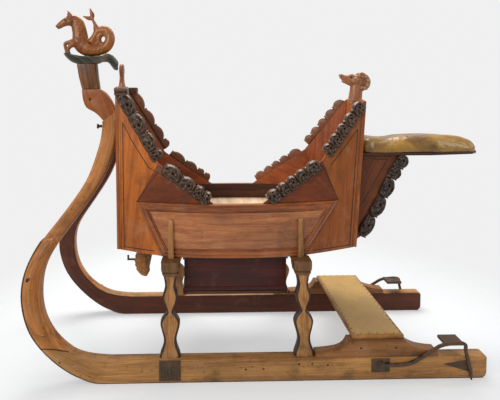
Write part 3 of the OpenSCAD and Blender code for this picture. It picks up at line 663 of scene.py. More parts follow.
def makeStudio():
    addLight("skyPanel", (-0.2, 1.3, 4.2), (0, 0, 0.7), (3.6, 2.2), 190, (1.0, 0.99, 0.97))
    addLight("frontPanel", (-2.6, -3.2, 2.8), (0, 0, 0.7), (2.6, 2.0), 84, (1.0, 0.97, 0.93))
    addLight("rightPanel", (3.4, -1.0, 2.4), (0.2, 0, 0.7), (1.6, 1.6), 20, (1.0, 0.98, 0.95))
    world = bpy.data.worlds.new("studio")
    bpy.context.scene.world = world
    world.use_nodes = True
    nodes, links = world.node_tree.nodes, world.node_tree.links
    seen = nodes["Background"]
    seen.inputs["Color"].default_value = paint(240, 240, 240)
    lighting = nodes.new("ShaderNodeBackground")
    lighting.inputs["Color"].default_value = (0.95, 0.97, 1.0, 1)
    lighting.inputs["Strength"].default_value = 0.55
    path = nodes.new("ShaderNodeLightPath")
    mix = nodes.new("ShaderNodeMixShader")
    links.new(path.outputs["Is Camera Ray"], mix.inputs[0])
    links.new(lighting.outputs[0], mix.inputs[1])
    links.new(seen.outputs[0], mix.inputs[2])
    links.new(mix.outputs[0], nodes["World Output"].inputs[0])
    mesh = bpy.data.meshes.new("floor")
    reach = 30.0
    mesh.from_pydata([(-reach, -reach, 0), (reach, -reach, 0), (reach, reach, 0), (-reach, reach, 0)], [],
                     [(0, 1, 2, 3)])
    floor = bpy.data.objects.new("floor", mesh)
    bpy.context.scene.collection.objects.link(floor)
    material, nodes, links, shader = newMaterial("paleFloor")
    coords = nodes.new("ShaderNodeTexCoord")
    tone = noiseNode(nodes, links, coords.outputs["Object"], 3.0, 3, 0.5)
    colour = mixColours(nodes, links, tone, paint(224, 226, 228), paint(228, 230, 232))
    links.new(colour, shader.inputs["Base Color"])
    fade = placeGroup(nodes, makeFadeGroup(), Near=1.1, Far=2.1, Most=0.56)
    links.new(coords.outputs["Object"], fade.inputs["Vector"])
    links.new(fade.outputs["Mask"], shader.inputs["Alpha"])
    shader.inputs["Roughness"].default_value = 0.9
    shader.inputs["Specular IOR Level"].default_value = 0.1
    mesh.materials.append(material)
    bpy.context.scene.view_settings.view_transform = "Standard"


makeCamera()
makeStudio()
print("camera, light and floor made")


# rows run from the toe up the horn: outer x, outer z, inner x, inner z, and how far the horns are spread;
# reach scales each x, and scarf and shoeRow are rows
horn = dict(toe=-0.755, heel=0.996, shoe=0.005, top=0.108, track=0.660, thick=0.060, topThick=0.045,
            blockHalf=0.032, reach=0.3577 / 0.362, scarf=2, shoeRow=7, steps=10, radius=0.011,
            rows=[(0, 0, 0.055, 0, 1), (-0.135, 0.033, -0.045, 0.008, 1), (-0.282, 0.178, -0.125, 0.032, 1),
                  (-0.326, 0.256, -0.232, 0.126, 0.95), (-0.360, 0.362, -0.276, 0.257, 0.89),
                  (-0.353, 0.462, -0.268, 0.378, 0.80), (-0.332, 0.525, -0.249, 0.433, 0.735),
                  (-0.287, 0.616, -0.213, 0.497, 0.633), (-0.216, 0.697, -0.161, 0.564, 0.532),
                  (-0.145, 0.799, -0.091, 0.663, 0.394), (-0.092, 0.875, -0.031, 0.750, 0.285),
                  (-0.062, 0.973, 0.012, 0.846, 0.151), (-0.041, 1.050, 0.033, 0.924, 0.05),
                  (-0.034, 1.105, 0.040, 1.000, 0), (-0.032, 1.153, 0.045, 1.105, 0)])
# the half-round swelling on the horn's outer face, from row to row of the horn
relief = dict(low=2.75, high=7.3, half=0.033, height=0.021)


def hornPath():
    toe, reach, shoe, top = horn["toe"], horn["reach"], horn["shoe"], horn["top"]
    rows = [(toe + a * reach, shoe + b, toe + c * reach, top + d, k) for a, b, c, d, k in horn["rows"]]
    path = smoothRows(rows, horn["steps"])
    # rounds off the rows' corners; both ends stay where they are
    for turn in range(2):
        eased = []
        for i in range(len(path)):
            reach = min(i, len(path) - 1 - i, 6)
            near = path[i - reach:i + reach + 1]
            eased.append(tuple(sum(row[k] for row in near) / len(near) for k in range(5)))
        path = eased
    return path


def spreadY(k):
    inner = horn["blockHalf"] + horn["topThick"] / 2
    return inner + max(k, 0) * (horn["track"] / 2 - inner)


def hornThick(k):
    return horn["topThick"] + k * (horn["thick"] - horn["topThick"])


def roundedRect(width, half, radius, cornerSteps=4, sideSteps=16):
    # points round a rounded rectangle: u across from 0 to width, v from -half to half
    out = []
    corners = [(radius, -half + radius, 180), (width - radius, -half + radius, 270),
               (width - radius, half - radius, 0), (radius, half - radius, 90)]
    for index, (cu, cv, start) in enumerate(corners):
        for k in range(cornerSteps + 1):
            a = math.radians(start + 90 * k / cornerSteps)
            out.append((cu + radius * math.cos(a), cv + radius * math.sin(a)))
        if index in (0, 2):
            nextU = corners[(index + 1) % 4][0]
            for k in range(1, sideSteps):
                out.append((cu + (nextU - cu) * k / sideSteps, -half if index == 0 else half))
    return out


def loftPiece(name, rings, grains, smoothAngle=40):
    sides = len(rings[0])
    mesh = bpy.data.meshes.new(name)
    mesh.from_pydata([p for ring in rings for p in ring], [], loftFaces(len(rings), sides))
    data = mesh.attributes.new("grainPos", "FLOAT_VECTOR", "POINT")
    flat = [g for ring in grains for g in ring]
    data.data.foreach_set("vector", [c for g in flat for c in g])
    return finishMesh(mesh, smoothAngle)


def swellMesh(path):
    # a half-round bar with round ends, laid along the horn's outer face
    first, last = int(relief["low"] * horn["steps"]), int(relief["high"] * horn["steps"])
    spots, run = [], 0.0
    for ox, oz, ix, iz, k in path[first:last + 1]:
        o, n = Vector((ox, oz)), Vector((ix, iz))
        middle = (o + n) / 2
        run += (middle - spots[-1][0]).length if spots else 0.0
        spots.append((middle, (n - o).normalized(), spreadY(k) + hornThick(k) / 2, run))
    rings, grains = [], []
    for middle, d, face, place in spots:
        share = min(1.0, min(place, run - place) / relief["half"])
        bulge = max(0.12, math.sqrt(1 - (1 - share) ** 2))
        half, rise = relief["half"] * bulge, relief["height"] * bulge + 0.004
        arc = [(half * math.cos(math.pi * k / 14), rise * math.sin(math.pi * k / 14)) for k in range(15)]
        rings.append([(middle.x + d.x * u, face - 0.004 + v, middle.y + d.y * u) for u, v in arc])
        grains.append([(place + 1.3, u + 0.05, v) for u, v in arc])
    return loftPiece("swelling", rings, grains, 50)


def hornLoft(name, path, first, last, radius, shift=0.0):
    rings, grains, run = [], [], 0.0
    middle = None
    for i in range(first, last + 1):
        ox, oz, ix, iz, k = path[i]
        o, n = Vector((ox, oz)), Vector((ix, iz))
        width, centre, half = (n - o).length, spreadY(k), hornThick(k) / 2
        d = (n - o) / width
        if middle is not None:
            run += ((o + n) / 2 - middle).length
        middle = (o + n) / 2
        ring, grain = [], []
        for u, v in roundedRect(width, half, radius):
            p = o + d * u
            ring.append((p.x, centre + v, p.y))
            grain.append((run + shift, u, v))
        rings.append(ring)
        grains.append(grain)
    return loftPiece(name, rings, grains)


def shadeInner(mesh):
    # the side towards the middle takes the second material
    for face in mesh.polygons:
        if face.normal.y < -0.6:
            face.material_index = 1
    return mesh


def runnerMesh(path):
    # the straight beam and the curved toe up to the scarf
    last = horn["scarf"] * horn["steps"]
    half = horn["thick"] / 2
    heel = horn["heel"]
    stations = [(heel, 0.020, -0.008), (heel - 0.004, 0.006, -0.002), (heel - 0.014, 0, 0)]
    stations += [(heel - 0.014 - (heel - 0.07) * k / 24, 0, 0) for k in range(1, 25)]
    rings, grains = [], []
    for x, low, high in stations:
        ring, grain = [], []
        for u, v in roundedRect(horn["top"] + high - horn["shoe"] - low, half, 0.005):
            ring.append((x, horn["track"] / 2 + v, horn["shoe"] + low + u))
            grain.append((-x, u, v))
        rings.append(ring)
        grains.append(grain)
    for i in range(0, last + 1):
        ox, oz, ix, iz, k = path[i]
        o, n = Vector((ox, oz)), Vector((ix, iz))
        width = (n - o).length
        d = (n - o) / width
        ring, grain = [], []
        for u, v in roundedRect(width, half, 0.005 + 0.006 * i / last):
            p = o + d * u
            ring.append((p.x, horn["track"] / 2 + v, p.y))
            grain.append((0.33 * i / last - horn["toe"], u, v))
        rings.append(ring)
        grains.append(grain)
    return loftPiece("runner", rings, grains)


def shoeMesh(path):
    last = horn["shoeRow"] * horn["steps"]
    inset = 0.004
    thick = horn["shoe"]
    rings, grains, run = [], [], 0.0
    stations = [((x, thick), Vector((0, -1)), 1.0) for x in (horn["heel"] - 0.012, horn["toe"] + 0.06)]
    for i in range(last + 1):
        a, b = path[max(i - 1, 0)], path[min(i + 1, last)]
        d = Vector((b[0] - a[0], b[1] - a[1])).normalized()
        outward = Vector((d.y, -d.x)) if d.x > 0 else Vector((-d.y, d.x))
        if outward.x > 0.001:
            outward = -outward
        if i == 0:
            outward = Vector((0, -1))
        stations.append(((path[i][0], path[i][1]), outward, path[i][4]))
    before = None
    for (x, z), out, k in stations:
        half, centre = hornThick(k) / 2 - inset, spreadY(k)
        run += (Vector((x, z)) - before).length if before else 0
        before = Vector((x, z))
        e = 0.0015
        corners = [(0.0, -half), (thick - e, -half), (thick, -half + e), (thick, half - e), (thick - e, half),
                   (0.0, half)]
        rings.append([(x + out.x * a, centre + v, max(z + out.y * a, 0.0)) for a, v in corners])
        grains.append([(run, a, v) for a, v in corners])
    return loftPiece("shoe", rings, grains, 30)


def pairOf(mesh, name, materials, stems=()):
    # the piece and its mirror image; the mesh already carries its grain
    for side, sign in sides:
        copy = mesh.copy() if sign > 0 else mirrored(mesh, name)
        addPiece(f"{name}_{side}", copy, "sleigh", materials, [f"{s}_{side}" for s in stems])


def sidePlate(name, outline, low, high, bevel=0.003, grain=(1, 0, 0)):
    # a flat plate drawn in side view, from y = low to y = high
    bm = bmesh.new()
    face = bm.faces.new([bm.verts.new((x, low, z)) for x, z in outline])
    grown = bmesh.ops.extrude_face_region(bm, geom=[face])
    for v in grown["geom"]:
        if isinstance(v, bmesh.types.BMVert):
            v.co.y = high
    bmesh.ops.recalc_face_normals(bm, faces=bm.faces)
    if bevel:
        edges = [e for e in bm.edges if len(e.link_faces) == 2 and e.calc_face_angle(0) > math.radians(35)]
        bmesh.ops.bevel(bm, geom=edges, offset=bevel, segments=2, affect="EDGES", profile=0.6)
    mesh = bpy.data.meshes.new(name)
    bm.to_mesh(mesh)
    bm.free()
    finishMesh(mesh, 30)
    return setGrain(mesh, grain)


def discMesh(name, centre, radius, height, axis="Y", segments=20):
    # a domed nail or rivet head
    rings = []
    for k in range(7):
        a = math.pi / 2 * k / 6
        rings.append((radius * math.cos(a), height * math.sin(a)))
    verts, faces = [], []
    for r, h in rings[:-1]:
        for j in range(segments):
            b = 2 * math.pi * j / segments
            verts.append((r * math.cos(b), r * math.sin(b), h))
    verts.append((0, 0, rings[-1][1]))
    tip = len(verts) - 1
    for i in range(len(rings) - 2):
        for j in range(segments):
            a, b = i * segments + j, i * segments + (j + 1) % segments
            faces.append((a, b, b + segments, a + segments))
    top = (len(rings) - 2) * segments
    for j in range(segments):
        faces.append((top + j, top + (j + 1) % segments, tip))
    faces.append(tuple(range(segments))[::-1])
    mesh = bpy.data.meshes.new(name)
    mesh.from_pydata(verts, [], faces)
    turn = Matrix.Rotation(-math.pi / 2, 4, "X") if axis == "Y" else Matrix.Identity(4)
    mesh.transform(Matrix.Translation(centre) @ turn)
    return finishMesh(mesh, 50)


def makeRunners():
    path = hornPath()
    first = horn["scarf"] * horn["steps"]
    last = len(path) - 1
    timber = shadeInner(hornLoft("horn", path, first, last, horn["radius"], shift=1.1))
    pairOf(timber, "horn_timber", [woods["horn"], woods["innerSide"]], ["horn"])
    pairOf(swellMesh(path), "horn_swelling", [woods["horn"]])
    beam = shadeInner(runnerMesh(path))
    pairOf(beam, "runner_timber", [woods["runner"], woods["innerSide"]], ["runner"])
    pairOf(shoeMesh(path), "shoe_strip", [iron], ["shoe"])
    # the scarf's dark glue line, and the knot in the horn
    y = horn["track"] / 2 + horn["thick"] / 2
    ox, oz, ix, iz, k = path[first]
    glueLine = [(ox + 0.004, oz - 0.002), ((ox + ix) / 2 - 0.004, (oz + iz) / 2 + 0.006),
                (ix - 0.004, iz + 0.002)]
    seam = sidePlate("seam", bandOutline(glueLine, 0.0025), y - 0.004, y + 0.0006, 0)
    pairOf(seam, "scarf_seam", [woods["inlay"]])
    knot = discMesh("knot", (-1.071, 0, 0), 0.014, 0.004)
    knot.transform(Matrix.Translation((0, spreadY(0.8) + hornThick(0.8) / 2 + 0.0185, 0.463)))
    pairOf(setGrain(knot), "horn_knot", [woods["inlay"]])
    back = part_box("footboard")[1].x
    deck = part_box("footboard")[0].z
    h = deck - horn["top"]
    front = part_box("heel_block_right")[0].x
    curve = smoothRows([(front, 0.019), (front + 0.045, 0.022), (front + 0.100, 0.030),
                        (front + 0.132, 0.046), (front + 0.146, 0.066), (front + 0.150, h)], 5)
    tail = smoothRows([(back + 0.002, h), (back + 0.024, 0.056), (back + 0.062, 0.038), (back + 0.105, 0.029),
                       (back + 0.148, 0.024)], 5)
    outline = [(front, 0.0)] + [tuple(p) for p in curve] + [tuple(p) for p in tail] + [(back + 0.154, 0.0)]
    block = sidePlate("block", [(a, horn["top"] + b) for a, b in outline], y - horn["thick"], y, 0.003)
    pairOf(block, "heel_block_timber", [woods["heel"]], ["heel_block"])


makeRunners()
print("runners made")


inlay = dict(width=0.004, proud=0.0005)


def ribbon(points, width=inlay["width"]):
    # a thin inlaid line on the hull's side
    dense = []
    for a, b in zip(points, points[1:]):
        steps = max(2, int(math.hypot(b[0] - a[0], b[1] - a[1]) / 0.03))
        dense += [(a[0] + (b[0] - a[0]) * k / steps, a[1] + (b[1] - a[1]) * k / steps) for k in range(steps)]
    dense.append(points[-1])
    rings = []
    for i, p in enumerate(dense):
        a, b = dense[max(i - 1, 0)], dense[min(i + 1, len(dense) - 1)]
        d = Vector((b[0] - a[0], b[1] - a[1])).normalized()
        n = Vector((-d.y, d.x))
        ring = []
        for side, level in ((-0.5, -0.002), (0.5, -0.002), (0.5, inlay["proud"]), (-0.5, inlay["proud"])):
            x, z = p[0] + n.x * side * width, p[1] + n.y * side * width
            ring.append((x, hullY(x, level), z))
        rings.append(ring)
    mesh = bpy.data.meshes.new("line")
    mesh.from_pydata([v for r in rings for v in r], [], loftFaces(len(rings), 4))
    return setGrain(finishMesh(mesh, 30), (1, 0, 0), shift=Vector((0, 0, 0)))


def between(a, b, t):
    return (a[0] + (b[0] - a[0]) * t, a[1] + (b[1] - a[1]) * t)


def offsetLine(a, b, d):
    # the line from a to b moved to its left by d
    v = Vector((b[0] - a[0], b[1] - a[1])).normalized()
    return (a[0] - v.y * d, a[1] + v.x * d), (b[0] - v.y * d, b[1] + v.x * d)


def insetOutline(points, d):
    out = []
    for i, p in enumerate(points):
        a, b = points[i - 1], points[(i + 1) % len(points)]
        (p1, p2), (q1, q2) = offsetLine(a, p, d), offsetLine(p, b, d)
        r, s = Vector(p2) - Vector(p1), Vector(q2) - Vector(q1)
        cross = r.x * s.y - r.y * s.x
        t = ((q1[0] - p1[0]) * s.y - (q1[1] - p1[1]) * s.x) / cross
        out.append((p1[0] + r.x * t, p1[1] + r.y * t))
    return out


# the mouldings' section: share of the width from the outer edge, and height above the boards
frameProfile = [(0.0, 0.0), (0.0, 0.006), (0.07, 0.0095), (0.17, 0.0100), (0.25, 0.0065), (0.31, 0.0058),
                (0.38, 0.0085), (0.66, 0.0100), (0.74, 0.0092), (0.80, 0.0050), (0.88, 0.0046), (0.95, 0.0070),
                (1.0, 0.0050), (1.0, 0.0)]


def frameMesh(outer, inner, i):
    j = (i + 1) % 4
    length = math.hypot(outer[j][0] - outer[i][0], outer[j][1] - outer[i][1])
    steps = max(3, int(length / 0.03))
    rings = []
    for k in range(steps + 1):
        t = k / steps
        a, b = between(outer[i], outer[j], t), between(inner[i], inner[j], t)
        ring = []
        for share, level in frameProfile:
            x, z = between(a, b, share)
            ring.append((x, hullY(x, level), z))
        rings.append(ring)
    mesh = bpy.data.meshes.new("moulding")
    mesh.from_pydata([v for r in rings for v in r], [], loftFaces(len(rings), len(frameProfile)))
    finishMesh(mesh, 28)
    return setGrain(mesh, (outer[j][0] - outer[i][0], 0, outer[j][1] - outer[i][1]))


def bulgeMesh(outline, height, edge=0.0055, across=28, up=14):
    # the middle field: a closed board whose face swells towards its middle
    (ax, az), (bx, bz), (cx, cz), (dx, dz) = outline
    front, back = [], []
    for j in range(up + 1):
        v = j / up
        for i in range(across + 1):
            u = i / across
            low, high = between((ax, az), (bx, bz), u), between((dx, dz), (cx, cz), u)
            x, z = between(low, high, v)
            swell = (math.sin(math.pi * u) ** 0.6) * (math.sin(math.pi * v) ** 0.7)
            front.append((x, hullY(x, edge + height * swell), z))
            back.append((x, hullY(x, -0.004), z))
    row = across + 1
    faces = []
    count = len(front)
    for j in range(up):
        for i in range(across):
            a = j * row + i
            faces.append((a, a + 1, a + 1 + row, a + row))
            faces.append((count + a, count + a + row, count + a + 1 + row, count + a + 1))
    rim = [i for i in range(row)] + [j * row + across for j in range(1, up + 1)]
    rim += [up * row + i for i in range(across - 1, -1, -1)] + [j * row for j in range(up - 1, 0, -1)]
    for a, b in zip(rim, rim[1:] + rim[:1]):
        faces.append((a, b, count + b, count + a))
    mesh = bpy.data.meshes.new("field")
    mesh.from_pydata(front + back, [], faces)
    return setGrain(finishMesh(mesh, 40), (1, 0, 0))


def makeHull():
    c = corner
    t = hull["board"]
    # the upper triangles and the rear panel take darker copies of the oak, as painted shade
    panels = [("front_panel", [c["f0"], c["b0"], c["t0"], c["p1"], c["f1"]], woods["hull"], (0.1, 0, 1)),
              ("upper_front", [c["t0"], c["p2"], c["p1"]], woods["shadedHull"], (1, 0, 0.3)),
              ("upper_rear", [c["p3"], c["t1"], c["p4"]], woods["shadedHull"], (1, 0, -0.3)),
              ("rear_panel", [c["b1"], c["r0"], c["r1"], c["p4"], c["t1"]], woods["shadedRearHull"], (0.06, 0, 1))]
    for stem, outline, material, grain in panels:
        mesh = setGrain(bentMesh("panel", outline, -t, 0, bevel=0.001), grain)
        # the inner faces take the lighter inside colour as painted light
        pairOf(shadeInner(mesh), stem + "_board", [material, woods["inside"]], [stem])
    middle = [c["b0"], c["b1"], c["t1"], c["t0"]]
    inner = insetOutline(middle, 0.040)
    board = setGrain(bentMesh("panel", middle, -t, 0, bevel=0.001), (1, 0, 0))
    # its inner faces take the dark board colour as painted shade, and its top faces take the pale foot deal as
    # a painted highlight
    for face in shadeInner(board).polygons:
        if face.normal.z > 0.8:
            face.material_index = 2
    boardWoods = [woods["redBoard"], woods["dark"], woods["foot"]]
    pairOf(board, "middle_board", boardWoods, ["middle_panel"])
    pairOf(bulgeMesh(insetOutline(middle, 0.0415), 0.0035), "middle_field", [woods["field"]])
    pieces = [frameMesh(middle, inner, i) for i in range(4)]
    pairOf(joined("frame", pieces), "frame_moulding", [woods["moulding"]], ["side_frame"])
    makeInlays(c)


def makeInlays(c):
    lines = []
    e = 0.020
    f0, f1 = c["f0"], c["f1"]
    lines.append(ribbon([(f0[0] + e, f0[1] + 0.016), (f1[0] + e, f1[1] - 0.150)]))
    lines.append(ribbon([(f0[0] + e, f0[1] + 0.016), (c["b0"][0] - 0.035, c["b0"][1] + 0.022)]))
    a, b = offsetLine(c["f1"], c["p1"], -0.058)
    lines.append(ribbon([(f1[0] + e, f1[1] - 0.150), between(a, b, 0.60), (b[0] + 0.004, b[1] + 0.010)]))
    lines.append(ribbon([(b[0] + 0.004, b[1] + 0.010), between(c["p1"], c["p2"], 0.9)], 0.003))
    lines.append(ribbon([(c["t0"][0] + 0.002, c["t0"][1]), (c["p1"][0] + 0.004, c["p1"][1] - 0.03)], 0.003))
    r0, r1 = c["r0"], c["r1"]
    lean = (r1[0] - r0[0]) / (r1[1] - r0[1])
    lines.append(ribbon([(r0[0] - e, r0[1] + 0.014), (r1[0] - e - 0.150 * lean, r1[1] - 0.135)]))
    lines.append(ribbon([(r0[0] - e, r0[1] + 0.014), (c["b1"][0] + 0.050, c["b1"][1] + 0.020)]))
    a, b = offsetLine(c["p4"], c["r1"], -0.060)
    lines.append(ribbon([(a[0] - 0.004, a[1] + 0.012), (r1[0] - e - 0.150 * lean, r1[1] - 0.135)]))
    lines.append(ribbon([(c["t1"][0], c["t1"][1]), (c["p4"][0] - 0.002, c["p4"][1] - 0.02)], 0.003))
    e = 0.007
    lines.append(ribbon([(f0[0] + e, f0[1] + 0.004), (f1[0] + e, f1[1] - 0.06)], 0.0015))
    lines.append(ribbon([(r0[0] - e, r0[1] + 0.004), (r1[0] - e, r1[1] - 0.05)], 0.0015))
    pairOf(setGrain(joined("lines", lines)), "inlay_lines", [woods["inlay"]])


makeHull()
print("hull made")


crestShape = dict(inner=-0.036, base=0.007, rise=0.026, proud=0.004, dome=0.016, spike=0.015, step=0.0026)


def crestEdge(s, bounds):
    # the scalloped outer edge at a place along the crest: height above the board's edge
    k = max(i for i, b in enumerate(bounds[:-1]) if s >= b) if s > bounds[0] else 0
    a, b = bounds[k], bounds[k + 1]
    t = (s - a) / (b - a)
    arc = crestShape["base"] + crestShape["rise"] * math.sin(math.pi * min(1, t)) ** 0.55
    gap = abs(s - b) / 0.006
    tip = crestShape["spike"] * math.exp(-gap * gap)
    return arc + tip, k, t


def lobeHeight(p, q, seed, x, z):
    # one leafy lobe: a dome with curling ribs, a rolled rim and a small drilled hole
    r = math.hypot(p, q)
    body = math.sqrt(max(0.0, 1 - min(1, abs(q)) ** 2.6)) * (0.42 + 0.58 * math.sqrt(max(0.0, 1 - p * p)))
    holeP, holeQ = -0.18 + 0.12 * math.sin(seed * 3), 0.06
    away = math.hypot(p - holeP, (q - holeQ) * 0.9)
    turn = math.atan2(q - holeQ, p - holeP)
    h = crestShape["dome"] * body
    h += 0.0034 * math.sin(5 * turn + 7 * away + seed) * min(1.0, away * 2) * body
    h += 0.0030 * noise.noise(Vector((x * 55, z * 55, seed)))
    h += 0.0018 * noise.noise(Vector((x * 140, z * 140, seed)))
    h += 0.0024 * math.exp(-((r - 0.86) / 0.10) ** 2)
    h -= 0.0032 * math.exp(-((r - 0.66) / 0.07) ** 2)
    h -= 0.014 * math.exp(-(away / 0.13) ** 2)
    return h


def crestMeshes(a, b, bounds, flip=False, surface=hullY, seed=0.0):
    # the dark carved relief, and the scalloped board behind it, along the line from a to b
    a, b = Vector(a), Vector(b)
    length = (b - a).length
    d = (b - a) / length
    n = Vector((-d.y, d.x))
    if flip:
        n = -n
    bounds = [length * t for t in bounds]
    columns = int((bounds[-1] - bounds[0]) / crestShape["step"])
    rows = 22
    rings, backs = [], []
    for i in range(columns + 1):
        s = bounds[0] + (bounds[-1] - bounds[0]) * i / columns
        edge, k, t = crestEdge(min(s, bounds[-1] - 1e-6), bounds)
        inner = crestShape["inner"] * (0.84 + 0.16 * math.sin(math.pi * t) ** 0.5)
        if i == 0 or i == columns:
            edge, inner = 0.004, -0.004
        ring = []
        for j in range(rows + 1):
            v = inner + (edge - inner) * j / rows
            q = (v - 0.5 * (inner + edge)) / (0.5 * (edge - inner) + 1e-6)
            p = 2 * t - 1
            x, z = a.x + d.x * s + n.x * v, a.y + d.y * s + n.y * v
            h = lobeHeight(p, q, seed + k, x, z)
            fade = min(1.0, min(j, rows - j) / 1.5)
            level = crestShape["proud"] + max(0.0, h) * fade
            ring.append((x, surface(x, level), z))
        for v in (edge, inner):
            x, z = a.x + d.x * s + n.x * v, a.y + d.y * s + n.y * v
            ring.append((x, surface(x, -0.001), z))
        rings.append(ring)
        backEdge = max(edge - 0.002, 0.001)
        backRing = []
        for v, level in ((-0.002, -0.0155), (-0.002, 0.0), (backEdge, 0.0), (backEdge + 0.0005, -0.004),
                         (backEdge, -0.0135), (backEdge - 0.003, -0.0155)):
            x, z = a.x + d.x * s + n.x * v, a.y + d.y * s + n.y * v
            backRing.append((x, surface(x, level), z))
        backs.append(backRing)
    front = bpy.data.meshes.new("carving")
    front.from_pydata([v for r in rings for v in r], [], loftFaces(len(rings), rows + 3))
    finishMesh(front, 50)
    back = bpy.data.meshes.new("scallops")
    back.from_pydata([v for r in backs for v in r], [], loftFaces(len(backs), 6))
    finishMesh(back, 40)
    return setGrain(front, (d.x, 0, d.y)), setGrain(back, (d.x, 0, d.y))


def makeCrests():
    c = corner
    runs = [("front", (c["p1"][0] + 0.006, c["p1"][1] + 0.020), (c["f1"][0] + 0.012, c["f1"][1] - 0.006),
             [0.0, 0.14, 0.40, 0.68, 0.985], 0.0),
            ("front", (c["p2"][0] - 0.030, c["p2"][1] + 0.026), (c["p1"][0] + 0.022, c["p1"][1] - 0.008),
             [-0.06, 0.10, 0.28, 0.60, 0.98], 1.3),
            ("rear", (c["r1"][0] - 0.006, c["r1"][1] - 0.006), (c["p4"][0] + 0.012, c["p4"][1] + 0.026),
             [0.01, 0.22, 0.43, 0.62, 0.81, 0.98], 2.1),
            ("rear", (c["p4"][0] - 0.018, c["p4"][1] - 0.012), (c["p3"][0] + 0.034, c["p3"][1] + 0.026),
             [0.0, 0.26, 0.46, 0.64, 0.82, 1.05], 0.7)]
    fronts = dict(front=[], rear=[])
    backs = dict(front=[], rear=[])
    for end, a, b, bounds, seed in runs:
        front, back = crestMeshes(a, b, bounds, True, hullY, seed)
        fronts[end].append(front)
        backs[end].append(back)
    for end in ("front", "rear"):
        pairOf(joined("carving", fronts[end]), f"crest_{end}_carving", [woods["carved"]],
               [f"crest_{end}"])
        pairOf(joined("scallops", backs[end]), f"crest_{end}_board", [woods["scallop"]])


makeCrests()
print("crests carved")


post = dict(rows=[(0.0, 0.046), (0.04, 0.045), (0.20, 0.028), (0.41, 0.044), (0.53, 0.012)],
            upper=[(0.53, 0.012), (0.575, 0.020), (0.70, 0.035), (0.84, 0.024), (1.0, 0.035)],
            thick=0.040, chamfer=0.010, foot=0.325, lean=0.050, low=0.108, high=0.470)


def shaftMesh(x):
    rows = smoothRows(post["rows"], 7)[:-1] + smoothRows(post["upper"], 7)
    run = post["high"] - post["low"] + 0.012
    rings = []
    for share, half in rows:
        z = post["low"] + share * run
        y = post["foot"] - share * post["lean"]
        h = post["thick"] / 2
        c = min(post["chamfer"], 0.55 * half)
        e = c * 0.8
        points = [(-half + c, h), (half - c, h), (half, h - e), (half, -h + e), (half - c, -h),
                  (-half + c, -h), (-half, -h + e), (-half, h - e)]
        rings.append([(x + u, y + v, z) for u, v in points])
    mesh = bpy.data.meshes.new("shaft")
    mesh.from_pydata([p for r in rings for p in r], [], loftFaces(len(rings), 8))
    for polygon in mesh.polygons:
        corners = sorted(v % 8 for v in polygon.vertices)
        cutEdge = (corners[0], corners[2]) in ((1, 2), (0, 7), (2, 3), (6, 7))
        if len(corners) == 4 and corners[0] == corners[1] and cutEdge:
            polygon.material_index = 1
    finishMesh(mesh, 30)
    return setGrain(mesh, (0, 0, 1))


capital = dict(low=0.466, high=0.5295, half=0.041, sidePoints=96, levels=26, squareness=0.26, leaf=0.0028,
               bead=0.0030, band=-0.0025)


def capitalMesh(x, inner, outer):
    # a block with leaves above a row of beads
    sidePoints, levels = capital["sidePoints"], capital["levels"]
    centre, depth = (inner + outer) / 2, (outer - inner) / 2
    rings = []
    for i in range(levels + 1):
        t = i / levels
        z = capital["low"] + (capital["high"] - capital["low"]) * t
        flare = 0.82 + 0.18 * math.sin(math.pi / 2 * min(1, t * 1.6))
        ring = []
        for j in range(sidePoints):
            a = 2 * math.pi * j / sidePoints
            ca, sa = math.cos(a), math.sin(a)
            power = capital["squareness"]
            u = capital["half"] * flare * math.copysign(abs(ca) ** power, ca)
            v = depth * (0.9 + 0.1 * flare) * math.copysign(abs(sa) ** power, sa)
            around = (u if abs(sa) > abs(ca) else v) / 0.0125
            curl = 3.2 * (t - 0.5) * math.copysign(1, u)
            leaf = capital["leaf"] * abs(math.sin(math.pi * around * 0.5 + curl))
            bead = capital["bead"] * abs(math.sin(around * math.pi)) if 0.06 < t < 0.22 else 0.0
            band = capital["band"] if 0.22 <= t < 0.28 or t > 0.93 else 0.0
            lift = (leaf if t >= 0.28 else 0) + bead + band
            length = math.hypot(u, v)
            ring.append((x + u + lift * u / length, centre + v + lift * v / length, z))
        rings.append(ring)
    mesh = bpy.data.meshes.new("capital")
    mesh.from_pydata([p for r in rings for p in r], [], loftFaces(len(rings), sidePoints))
    return setGrain(finishMesh(mesh, 50), (0, 0, 1))


# rows run up the rib: height, half width and how far it stands out
rib = dict(rows=[(0.530, 0.0150, 0.018), (0.56, 0.0130, 0.017), (0.62, 0.0118, 0.015), (0.69, 0.0115, 0.013),
                 (0.706, 0.0110, 0.009), (0.712, 0.008, 0.004)])


def ribMesh(x):
    # the slim rib that rises over the hull's side
    rings = []
    for z, half, out in rib["rows"]:
        points = [(-half, -0.003), (half, -0.003), (half, out - 0.004), (half - 0.004, out),
                  (-half + 0.004, out), (-half, out - 0.004)]
        rings.append([(x + u, hullY(x + u, 0.0095 + v), z) for u, v in points])
    mesh = bpy.data.meshes.new("rib")
    mesh.from_pydata([p for r in rings for p in r], [], loftFaces(len(rings), 6))
    return setGrain(finishMesh(mesh, 40), (0, 0, 1))


def makePosts():
    for end in ("front", "rear"):
        low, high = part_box(f"post_{end}_right")
        x = (low.x + high.x) / 2
        outer = post["foot"] + post["thick"] / 2 - post["lean"] + 0.006
        inner = hullY(x) - 0.012
        pairOf(shaftMesh(x), f"post_{end}_shaft", [woods["post"], woods["postEdge"]], [f"post_{end}"])
        pairOf(capitalMesh(x, inner, outer), f"post_{end}_capital", [woods["capital"]])
        pairOf(ribMesh(x), f"post_{end}_rib", [woods["post"]])


makePosts()
print("posts made")


